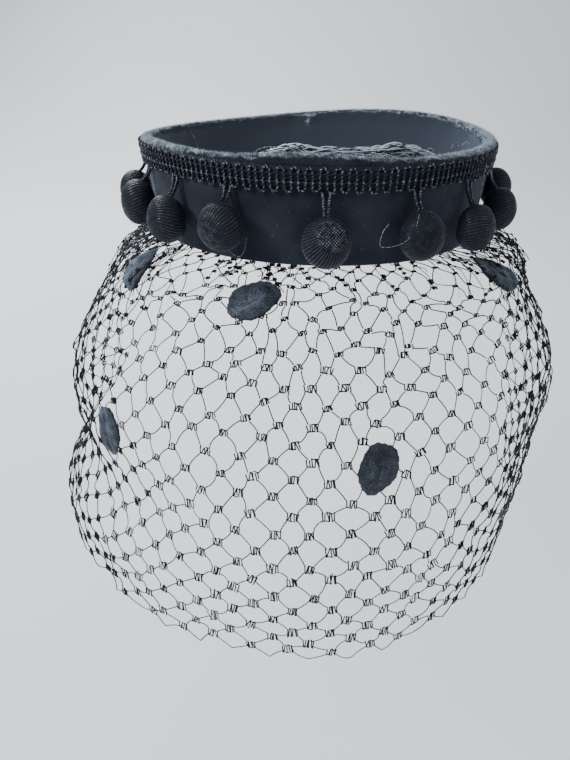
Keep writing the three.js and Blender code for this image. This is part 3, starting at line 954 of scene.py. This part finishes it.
# %% Sections of the veil
VEIL_DROP = 145.0
VEIL_REACH = 134.0
VEIL_HEADING = 9.0
VEIL_THICKNESS = 1.2
VEIL_SIDE_AZIMUTH = 70.0
VEIL_WRAP = 250.0
LEVEL_COLUMNS = ("along", "drop", "front", "right", "left", "back")
VEIL_LEVELS = np.array([
    (0.055, 0.012, 0.518, 0.52, 0.52, 0.518),
    (0.09, 0.03, 0.555, 0.63, 0.59, 0.56),
    (0.15, 0.075, 0.61, 0.715, 0.68, 0.62),
    (0.23, 0.15, 0.68, 0.745, 0.735, 0.66),
    (0.32, 0.24, 0.745, 0.8, 0.8, 0.7),
    (0.42, 0.345, 0.8, 0.86, 0.88, 0.73),
    (0.56, 0.5, 0.865, 0.875, 0.915, 0.76),
    (0.71, 0.67, 0.925, 0.855, 0.885, 0.78),
    (0.86, 0.84, 0.97, 0.83, 0.985, 0.8),
    (1, 1, 1, 0.81, 1.0, 0.82),
])
VEIL_HEM = np.array([
    (-125, 0.24), (-112, 0.5), (-96, 0.84), (-82, 1), (80, 1), (95, 0.84), (111, 0.5), (125, 0.24),
])


def read_table(keys, values, at):
    """Smooth interpolation between the rows of a table."""
    at = np.clip(at, keys[0], keys[-1])
    n = np.clip(np.searchsorted(keys, at, side="right") - 1, 0, len(keys) - 2)
    slopes = np.empty(len(keys))
    slopes[1:-1] = (values[2:] - values[:-2]) / (keys[2:] - keys[:-2])
    slopes[0] = (values[1] - values[0]) / (keys[1] - keys[0])
    slopes[-1] = (values[-1] - values[-2]) / (keys[-1] - keys[-2])
    span = keys[n + 1] - keys[n]
    t = (at - keys[n]) / span
    return ((2 * t**3 - 3 * t**2 + 1) * values[n] + (t**3 - 2 * t**2 + t) * span * slopes[n]
            + (3 * t**2 - 2 * t**3) * values[n + 1] + (t**3 - t**2) * span * slopes[n + 1])


def level(column, along):
    return read_table(VEIL_LEVELS[:, 0], VEIL_LEVELS[:, LEVEL_COLUMNS.index(column)], along)


HEADING_RADIUS = BAND_FOOT_RADIUS - BAND_WALL - CLEARANCE - VEIL_THICKNESS / 2
FOOT_ALONG = VEIL_LEVELS[0, 0]
VEIL_TIE = 0.32


def veil_reach(azimuth, along):
    """How far the sections stand from the axis at an azimuth."""
    away = np.abs(azimuth)
    side = np.where(azimuth >= 0, level("right", along), level("left", along))
    near = (1 - np.cos(np.pi * np.minimum(away, VEIL_SIDE_AZIMUTH) / VEIL_SIDE_AZIMUTH)) / 2
    past = np.clip((away - VEIL_SIDE_AZIMUTH) / (180 - VEIL_SIDE_AZIMUTH), 0, 1)
    far = (1 - np.cos(np.pi * past)) / 2
    share = np.where(away <= VEIL_SIDE_AZIMUTH,
                     level("front", along) * (1 - near) + side * near,
                     side * (1 - far) + level("back", along) * far)
    return share * VEIL_REACH


def veil_point(azimuth, along):
    azimuth = np.asarray(azimuth, float)
    along = np.asarray(along, float)
    tie = 1 - fade(along, (FOOT_ALONG, VEIL_TIE))
    first = veil_reach(azimuth, np.full_like(along, FOOT_ALONG))
    radius = veil_reach(azimuth, along) + (HEADING_RADIUS - first) * tie
    height = -level("drop", along) * VEIL_DROP
    heading = np.clip(along / FOOT_ALONG, 0, 1)
    start = VEIL_HEADING + (-VEIL_LEVELS[0, 1] * VEIL_DROP - VEIL_HEADING) * heading
    radius = np.where(along <= FOOT_ALONG, HEADING_RADIUS, radius)
    height = np.where(along <= FOOT_ALONG, start, height)
    return turn_point(azimuth, radius, height + rim_lift(azimuth) * (1 - along))


def veil_axes(azimuth, along):
    """Unit vectors across (towards +X at the front), down and out of the veil."""
    across = unit(veil_point(azimuth + 0.5, along) - veil_point(azimuth - 0.5, along))
    above = np.maximum(along - 0.006, 0)
    down = unit(veil_point(azimuth, along + 0.006) - veil_point(azimuth, above))
    out = unit(np.cross(down, across))
    return across, down, out


def veil_pace(azimuth, along):
    """Millimetres that a degree across and a hundredth of the way down make on the veil."""
    across = veil_point(azimuth + 0.5, along) - veil_point(azimuth - 0.5, along)
    down = veil_point(azimuth, along + 0.005) - veil_point(azimuth, along - 0.005)
    return np.linalg.norm(across), np.linalg.norm(down)


print("front edge of the veil", veil_point(0.0, 1.0).round(1))

# %% [markdown]
# ## Lay out the net
#
# French veiling is a lattice of threads that cross in wide wrapped knots. The knots are laid out
# in staggered rows, then pushed about a little, because real net is never even. The threads run
# from a knot's side to the next knot down. Knots beyond the hem are left out, so that the lower
# edge is a row of cut meshes.

# %% Knots of the net
NET_COLUMNS = 36
NET_ROWS = 30
KNOT_WIDTH = 4.2
KNOT_HEIGHT = 3.9
THREAD_RADIUS = 0.24
DRIFT_WAVES = [(5, 9, 1, 0.7), (11, -14, 2, 0.6), (23, 21, 3, 0.45)]
net_step = VEIL_WRAP / NET_COLUMNS


def row_along(row):
    """Rows lie close under the ring, open out below it and close a little at the hem."""
    if row < 2:
        return FOOT_ALONG * row / 2
    share = (row - 2) / (NET_ROWS - 2)
    spaced = share - 0.045 * math.sin(2 * math.pi * share) - 0.03 * math.sin(math.pi * share)
    return FOOT_ALONG + (1 - FOOT_ALONG) * spaced


def drift(azimuth, along, seed):
    """A smooth push, in millimetres, that changes slowly over the net."""
    return waves(DRIFT_WAVES, np.radians(azimuth), along, seed)


knots = {}
for row in range(NET_ROWS + 1):
    along = row_along(row)
    for column in range(-NET_COLUMNS, NET_COLUMNS + 1):
        if (column + row) % 2:
            continue
        azimuth = column * net_step / 2
        if abs(azimuth) > VEIL_WRAP / 2:
            continue
        if along <= read_table(VEIL_HEM[:, 0], VEIL_HEM[:, 1], azimuth) + 1e-6:
            knots[(column, row)] = (azimuth, along)
keys = sorted(knots)
knot_azimuth = np.array([knots[key][0] for key in keys], float)
knot_along = np.array([knots[key][1] for key in keys], float)
free = np.clip((knot_along - FOOT_ALONG) / 0.06, 0, 1)
messy = free * (1 + 1.2 * bell(knot_along, 0.16, 0.12))
knot_across, knot_down, knot_out = veil_axes(knot_azimuth, knot_along)
shift_across = (drift(knot_azimuth, knot_along, 1.0) + chance.normal(0, 0.6, len(keys))) * messy
shift_down = (drift(knot_azimuth, knot_along, 4.0) * 0.8 + chance.normal(0, 0.6, len(keys))) * messy
shift_out = (drift(knot_azimuth, knot_along, 7.0) * 0.8 + chance.normal(0, 0.4, len(keys))) * free
knot_place = (veil_point(knot_azimuth, knot_along) + knot_across * shift_across[:, None]
              + knot_down * shift_down[:, None] + knot_out * shift_out[:, None])
number_of = {key: n for n, key in enumerate(keys)}
print("knots:", len(keys))

# %% Threads between the knots
THREAD_STEPS = 4
THREAD_SIDES = 4
TIE_ACROSS = 0.42
TIE_DOWN = 0.3
knot_size = np.clip(0.42 + 1.9 * knot_along, 0.5, 1) * chance.uniform(0.82, 1.1, len(keys))
tied = np.zeros(len(keys))
starts, ends = [], []
for (column, row), n in number_of.items():
    for step in (-1, 1):
        other = number_of.get((column + step, row + 1))
        if other is not None:
            starts.append((n, step))
            ends.append((other, -step))
            tied[n] = 1


def knot_corner(entries, toward):
    index = np.array([n for n, _ in entries])
    side = np.array([s for _, s in entries])[:, None]
    narrow = (knot_size[index] * tied[index])[:, None]
    return (knot_place[index] + knot_across[index] * side * KNOT_WIDTH * TIE_ACROSS * narrow
            + knot_down[index] * toward * KNOT_HEIGHT * TIE_DOWN * narrow), knot_out[index]


first, first_out = knot_corner(starts, 1)
last, last_out = knot_corner(ends, -1)
share = np.linspace(0, 1, THREAD_STEPS)[None, :, None]
slack = chance.normal(0, 0.4, (len(starts), 1, 3)) * np.sin(np.pi * share)
thread_paths = first[:, None] * (1 - share) + last[:, None] * share + slack
thread_out = first_out[:, None] * (1 - share) + last_out[:, None] * share
# Each thread gets a random painted highlight, strong on only a few.
thread_part = sweep_threads(thread_paths, thread_out, THREAD_RADIUS, THREAD_SIDES,
                            chance.uniform(0, 1, len(starts)) ** 3)
print("threads:", len(starts))

# %% [markdown]
# ## Tie the knots
#
# A knot of veiling is a short ladder: two threads wrap round a pair of others in a few upright
# turns. One knot is drawn flat as short bars. Every crossing gets its own copy of the drawing with
# the ends of the bars pushed about, so no two look the same. The cut meshes along the hem have no
# knot at their tips, only the two threads that meet there.

# %% Tie the knots
BAR_RADIUS = 0.27
BAR_SIDES = 4
BAR_LIFT = 0.35
KNOT_BARS = np.array([
    [(-0.48, -0.4), (-0.42, 0.46)],
    [(-0.3, 0.48), (-0.22, -0.44)],
    [(-0.1, -0.48), (-0.02, 0.44)],
    [(0.1, 0.5), (0.14, -0.46)],
    [(0.28, -0.42), (0.36, 0.48)],
    [(0.5, 0.42), (0.44, -0.46)],
    [(-0.42, 0.4), (0.12, 0.46)],
    [(-0.1, -0.46), (0.44, -0.38)],
])


def tie_knots(place, across, down, out, scale, tall):
    """Bars of one knot at each place, as points, faces and a random painted highlight for each
    knot.
    """
    many = len(place)
    drawn = KNOT_BARS[None] + chance.normal(0, 0.06, (many,) + KNOT_BARS.shape)
    spread = np.stack([KNOT_WIDTH * scale, KNOT_HEIGHT * scale * tall], -1)
    flat = drawn * spread[:, None, None]
    lift = chance.uniform(0, BAR_LIFT, flat.shape[:3])
    paths = (place[:, None, None] + flat[..., :1] * across[:, None, None]
             + flat[..., 1:] * down[:, None, None] + lift[..., None] * out[:, None, None])
    paths = paths.reshape(-1, 2, 3)
    bar_out = np.repeat(out, len(KNOT_BARS), axis=0)[:, None]
    # Each knot gets a random painted highlight.
    return sweep_threads(paths, np.broadcast_to(bar_out, paths.shape), BAR_RADIUS, BAR_SIDES,
                         chance.uniform(0, 0.9, many) ** 2)


knotted = tied > 0
tilt = chance.normal(0, 0.14, len(keys))[:, None]
axis_x = knot_across * np.cos(tilt) + knot_down * np.sin(tilt)
axis_y = knot_down * np.cos(tilt) - knot_across * np.sin(tilt)
knot_part = tie_knots(knot_place[knotted], axis_x[knotted], axis_y[knotted], knot_out[knotted],
                      knot_size[knotted], np.clip(0.45 + 0.75 * knot_along[knotted], 0.5, 1))

# %% Join the threads and the knots into the veil
veil = make_piece("net_veil", [thread_part, knot_part], netting, "netting", "veil_net")

# %% [markdown]
# ## The velvet dots
#
# Each dot is an oval cut from velvet and pressed onto the net, so it bends with the veil. A disc is
# inset ring by ring, then its points are carried onto the veil twice, as the top and the underside,
# and roughened. A row of the list holds a dot's azimuth, its share of the way down, the slant of
# its long axis, how strong its painted highlight streak is and where across it the streak lies.

# %% Model one dot in the flat
DOT_LENGTH = 21.0
DOT_WIDTH = 15.0
DOT_THICKNESS = 1.1
DOT_EDGE_HEIGHT = 0.25
DOT_LOFT = 0.8
VEIL_DOTS = [
    (-57, 0.15, -62, 0.9, -2.5),
    (-16, 0.155, 28, 0.75, -0.5),
    (-45, 0.535, -76, 0.45, 1.0),
    (12.6, 0.515, 66, 0.1, 0.0),
    (56, 0.135, -52, 0.9, 0.5),
]
DOT_EDGE = [(3, 0, 1, 0.035), (5, 0, 2, 0.03), (17, 0, 1, 0.018), (41, 0, 5, 0.012)]
DOT_CRUMPLE = [(0.9, 0.5, 1, 0.22), (-0.6, 1.7, 2, 0.2)]
STREAK_SLANT = 0.18
DOT_RINGS = 7
DOT_SIDES = 96
bpy.ops.object.select_all(action="DESELECT")
bpy.ops.mesh.primitive_circle_add(vertices=DOT_SIDES, radius=MM, fill_type="NGON")
dot_pattern = bpy.context.object
bpy.ops.object.mode_set(mode="EDIT")
bpy.ops.mesh.select_all(action="SELECT")
for ring in range(DOT_RINGS):
    bpy.ops.mesh.inset(thickness=0.125 * MM)
bpy.ops.mesh.poke()
bpy.ops.mesh.select_all(action="SELECT")
bpy.ops.object.mode_set(mode="OBJECT")
disc = mesh_points(dot_pattern)[:, :2]
disc_faces = [list(face.vertices) for face in dot_pattern.data.polygons]
bpy.data.objects.remove(dot_pattern)
rim_order = [n for n in range(len(disc)) if np.hypot(*disc[n]) > 0.999]
rim_order.sort(key=lambda n: math.atan2(disc[n][1], disc[n][0]))


# %% Press the dots onto the veil
def make_dot(number, azimuth, along, slant, streak_highlight_strength, streak_at):
    seed = (number - 1) * 1.7
    turn = math.radians(slant)
    spread = disc * (1 + waves(DOT_EDGE, np.arctan2(disc[:, 1], disc[:, 0]), 0, seed))[:, None]
    u = spread[:, 0] * DOT_LENGTH / 2
    v = spread[:, 1] * DOT_WIDTH / 2
    right = u * math.cos(turn) - v * math.sin(turn)
    up = u * math.sin(turn) + v * math.cos(turn)
    pace_across, pace_down = veil_pace(azimuth, along)
    spot_azimuth = azimuth + right / pace_across
    spot_along = along - 0.01 * up / pace_down
    centre = veil_point(spot_azimuth, spot_along)
    out = veil_axes(spot_azimuth, spot_along)[2]
    reach = np.hypot(disc[:, 0], disc[:, 1])
    crown = np.sqrt(np.clip(1 - reach ** 4, 0, 1))
    beside = v - STREAK_SLANT * u
    rough = waves(DOT_CRUMPLE, u, v, seed) + chance.normal(0, 0.07, len(disc))
    fold = -0.45 * bell(beside, 0, 1.0) * (1 - reach ** 2)
    seat = VEIL_THICKNESS / 2 + CLEARANCE
    loft = crown * (DOT_THICKNESS + rough + fold) * DOT_LOFT
    top = centre + out * (seat + DOT_EDGE_HEIGHT + loft)[:, None]
    under = centre + out * (seat - 0.1 * crown + 0.05)[:, None]
    count = len(disc)
    faces = [list(face) for face in disc_faces]
    faces += [[n + count for n in reversed(face)] for face in disc_faces]
    for k, n in enumerate(rim_order):
        following = rim_order[(k + 1) % len(rim_order)]
        faces.append([n, following, following + count, n + count])
    dot = mesh_object(f"velvet_dot_{number}", np.concatenate([top, under]), faces)
    turn_out(dot)
    # Painted shade in the crease beside the fold and round the dot's edge, and a pressed end
    # darkened.
    crease_shade = 0.48 * bell(beside, -0.4, 0.6) * (np.abs(u) < 0.3 * DOT_LENGTH)
    pressed_end = 0.75 * bell(u, 0.3 * DOT_LENGTH, 3.2) * bell(v, 0, 4.0)
    edge_shade = 0.7 * np.clip((reach - 0.9) / 0.1, 0, 1)
    dark = np.clip(np.maximum(np.maximum(crease_shade, pressed_end), edge_shade), 0, 1)
    # The underside is painted near black as painted shade.
    mark(dot, "wear_and_painted_light", np.concatenate([dark, np.full(count, 0.8)]))
    # A pale streak along the fold, a painted highlight.
    streak = streak_highlight_strength * bell(beside, streak_at, 2.6)
    mark(dot, "streak_highlight", np.concatenate([streak, np.zeros(count)]))
    hand_over(dot, flock, "flock", f"veil_dot_{number}")


for number, row in enumerate(VEIL_DOTS, 1):
    make_dot(number, *row)

# %% [markdown]
# ## The gathered net inside the front rim
#
# The strip's upper edge was drawn up into a loose bundle and stitched inside the front of the ring.
# From above it shows as a heap of shining threads that wave and loop along the rim, most of them
# painted pale as a painted highlight of the light behind it. Each thread keeps to its own place in
# the bundle's oval section, wanders round it, and has a crimp.

# %% Lay the gathered threads
GATHER_START = -16.0
GATHER_END = 37.0
GATHER_DEPTH = 5.2
GATHER_HEIGHT = 5.0
GATHER_RISE = 2.2
GATHER_THREADS = 92
GATHER_STEPS = 90
GATHER_THREAD_RADIUS = 0.16
GATHER_SIDES = 4


def random_column(low, high):
    return chance.uniform(low, high, (GATHER_THREADS, 1))


chance = np.random.default_rng(29)
share = np.linspace(0, 1, GATHER_STEPS)[None]
begin = GATHER_START + random_column(-1, 9)
finish_at = GATHER_END - random_column(-1, 10)
gather_azimuth = begin + (finish_at - begin) * share
inside_bundle = np.clip((gather_azimuth - GATHER_START) / (GATHER_END - GATHER_START), 0.01, 0.99)
swell = 0.3 + 0.7 * np.sin(np.pi * inside_bundle) ** 0.45
crests = 1.5 * around(gather_azimuth, -8, 7) + 1.8 * around(gather_azimuth, 25, 7)
swing = chance.normal(np.pi / 2, 1.1, (GATHER_THREADS, 1))
place_out = np.sqrt(random_column(0, 1)) * 0.95
wander = swing + 0.9 * np.sin(2 * np.pi * share * random_column(0.5, 2.2) + swing)
crimp = random_column(0.1, 0.65) * np.sin(2 * np.pi * share * random_column(3, 9) + swing * 3)
half_depth = GATHER_DEPTH / 2 * swell
half_height = GATHER_HEIGHT / 2 * swell
seat_radius = BAND_TOP_RADIUS - RIM_ROLL - CLEARANCE
gather_radius = seat_radius - half_depth * (1 - place_out * np.cos(wander)) + crimp * 0.6
gather_height = (BAND_HEIGHT + GATHER_RISE * swell + rim_lift(gather_azimuth)
                 + crests + half_height * place_out * np.sin(wander) + crimp)
gather_paths = turn_point(gather_azimuth, gather_radius, gather_height)
gather_up = np.broadcast_to(upward, gather_paths.shape)
# Most threads get a strong painted highlight and some stay dark.
gather_highlight = np.where(chance.uniform(0, 1, GATHER_THREADS) < 0.3, 0.3, 1.1)
gather_highlight = gather_highlight * chance.uniform(0.7, 1.2, GATHER_THREADS)
gathered = sweep_threads(gather_paths, gather_up, GATHER_THREAD_RADIUS, GATHER_SIDES, gather_highlight)
make_piece("gathered_threads", [gathered], bundle, "netting", "net_gather")

# %% [markdown]
# ## Bunched net under the ring
#
# The strip of net is much wider than the ring, so at the sides it leaves the ring in layers that
# lie on each other as streaks of thread and knots. They follow the veil's surface, a little proud
# of it, and spread into the open net below. A row of the list holds the two azimuths of a bunch,
# its count of strands and how far down they reach.

# %% Bunch the net at the sides
BUNCHES = [(-112, -46, 50, 0.2), (-46, 46, 26, 0.11), (46, 112, 40, 0.16)]
STRANDS_END = 121
STRAND_STEPS = 7
STRAND_KNOTS = 2
strand_azimuth, strand_along = [], []
for low, high, count, reach in BUNCHES:
    start = chance.uniform(low, high, (count, 1))
    reach_down = reach * chance.uniform(0.6, 1.25, (count, 1))
    share = np.linspace(0, 1, STRAND_STEPS)[None]
    lean_over = chance.normal(0, 5, (count, 1))
    strand_azimuth.append(np.clip(start + lean_over * share, -STRANDS_END, STRANDS_END))
    strand_along.append(FOOT_ALONG * 0.8 + (reach_down - FOOT_ALONG * 0.8) * share)
strand_azimuth = np.concatenate(strand_azimuth)
strand_along = np.concatenate(strand_along)
strands = len(strand_azimuth)
_, _, strand_out = veil_axes(strand_azimuth, strand_along)
below_foot = np.clip((strand_along - FOOT_ALONG) / 0.05, 0, 1)
proud_by = 0.3 + chance.uniform(0, 2.2, (strands, 1)) * below_foot
wave = chance.normal(0, 0.4, (strands, STRAND_STEPS, 3))
strand_paths = veil_point(strand_azimuth, strand_along) + strand_out * proud_by[..., None] + wave
# Each bunched strand gets a random painted highlight.
strand_part = sweep_threads(strand_paths, strand_out, THREAD_RADIUS * 0.8, THREAD_SIDES,
                            chance.uniform(0, 1, strands) ** 2)
knot_strand = np.repeat(np.arange(strands), STRAND_KNOTS)
knot_step = chance.integers(2, STRAND_STEPS, len(knot_strand))
spot = strand_paths[knot_strand, knot_step]
spot_axes = veil_axes(strand_azimuth[knot_strand, knot_step], strand_along[knot_strand, knot_step])
bunch_knots = tie_knots(spot, *spot_axes, chance.uniform(0.3, 0.5, len(spot)), 0.7)
make_piece("bunched_net", [strand_part, bunch_knots], netting, "netting")

# %% [markdown]
# ## Loose threads
#
# An old hat sheds. A few ends of net hang below the balls, one long thread lies on the inner wall,
# and curls stand up from the rim. Each row of the list is one thread, drawn through points that
# are azimuth, distance from the axis and height. Each thread starts on what holds it.

# %% Let the loose threads hang
LOOSE_THREADS = [
    [(18, 84, 19), (16.3, 84.5, 15.9), (16.4, 84, 10.7), (21.5, 86, 12), (24, 87, 17),
     (25, 86.5, 22)],
    [(31.7, 82, 6), (36.5, 84, -1), (41, 86, -9.5), (42.5, 86, -16)],
    [(-22.7, 84, 8.3), (-19.8, 84, 6.2), (-18.4, 83, 8.3), (-18.1, 81, 12.8)],
    [(57, 79.5, 32.5), (54, 80.5, 28), (50.6, 82, 22.3)],
    [(-117, 73.4, 38.5), (-118.6, 72.4, 34), (-121.5, 71.6, 27), (-120.6, 71.4, 22)],
    [(33, 73, 40.4), (33.6, 73.5, 41.4), (34.6, 74.2, 41), (34.4, 75, 40.2), (33.4, 75, 40.3)],
    [(41, 75, 40.5), (42.5, 75.6, 42.7), (44, 76.3, 41), (46.5, 76.5, 42.4), (49, 76.2, 40.5)],
    [(-19, 72, 40), (-17, 71.5, 42.2), (-14.5, 71.5, 43.2), (-11.5, 71.8, 43.4)],
    [(6, 81.5, 3), (9, 82, -1), (8, 83, -6), (12, 85, -11)],
    [(-66, 76, 2), (-60, 80, -4), (-56, 84, -12), (-50, 88, -15)],
]
LOOSE_STEPS = 28
LOOSE_RADIUS = 0.09
LOOSE_SIDES = 5
LOOSE_GLOSS_AND_HIGHLIGHT = 0.78
loose_paths = []
for thread in LOOSE_THREADS:
    drawn = np.array(thread, float)
    keys_along = np.arange(len(drawn), dtype=float)
    at = np.linspace(0, len(drawn) - 1, LOOSE_STEPS)
    turn, reach, high = (read_table(keys_along, drawn[:, n], at) for n in range(3))
    loose_paths.append(turn_point(turn, reach, high))
loose_paths = np.array(loose_paths)
loose_up = np.broadcast_to(unit(np.array([0.3, 0.2, 1.0])), loose_paths.shape)
# The loose threads share the gathered threads' finish and are painted paler as a painted highlight.
loose = sweep_threads(loose_paths, loose_up, LOOSE_RADIUS, LOOSE_SIDES,
                      np.full(len(loose_paths), LOOSE_GLOSS_AND_HIGHLIGHT))
make_piece("loose_threads", [loose], bundle, "netting")

# %% [markdown]
# ## Floor, backdrop and light
#
# The hat is shown in the air, as it is worn, so the floor lies well below the veil. A pale sweep
# and large soft lights keep the black pieces readable: one light stands behind and catches the
# rim, and two wide ones in front open up the velvet.


# %% Light the hat
def soft_light(name, place, target, size, power, colour):
    data = bpy.data.lights.new(name, "AREA")
    data.shape = "DISK"
    data.size = size
    data.energy = power
    data.color = colour
    made = add_object(name, data)
    made.location = place
    aim = Vector(target) - Vector(place)
    made.rotation_euler = aim.to_track_quat("-Z", "Y").to_euler()


soft_light("rear", (-0.8, 1.2, 1.1), (0, 0, 0), 1.0, 42, (0.88, 0.94, 1.0))
soft_light("key", (-1.1, -0.7, 1.0), (0, 0, -0.03), 0.55, 22, (0.97, 0.98, 1.0))
soft_light("side", (1.3, -0.5, 0.7), (0, 0, -0.03), 1.0, 5, (0.97, 0.98, 1.0))
world = bpy.data.worlds.new("studio")
world.use_nodes = True
background = world.node_tree.nodes["Background"]
background.inputs["Color"].default_value = rgb(0.9, 0.93, 0.96)
background.inputs["Strength"].default_value = 0.5
bpy.context.scene.world = world

# %% Lay the floor
FLOOR_LEVEL = -0.30
BACK_WALL = 1.9
WALL_BEND = 0.7
sweep_rows = [(-3.0, FLOOR_LEVEL), (BACK_WALL - WALL_BEND, FLOOR_LEVEL)]
for turn in range(10, 91, 10):
    bend = math.radians(turn)
    sweep_rows.append((BACK_WALL - WALL_BEND + WALL_BEND * math.sin(bend),
                       FLOOR_LEVEL + WALL_BEND - WALL_BEND * math.cos(bend)))
sweep_rows.append((BACK_WALL, 3.0))
floor_points = np.array([(x, y, z) for y, z in sweep_rows for x in (-3.5, 3.5)]) / MM
floor_faces = [[2 * n, 2 * n + 1, 2 * n + 3, 2 * n + 2] for n in range(len(sweep_rows) - 1)]
floor = mesh_object("floor", floor_points, floor_faces)
paper = Finish("pale_paper", Roughness=0.85, Specular_IOR_Level=0.2)
shade = paper.mix(paper.noise(4, 2.0), rgb(0.78, 0.79, 0.8), rgb(0.84, 0.845, 0.85))
paper.feed("Base Color", shade)
floor.data.materials.append(paper.material)
floor.data.shade_smooth()
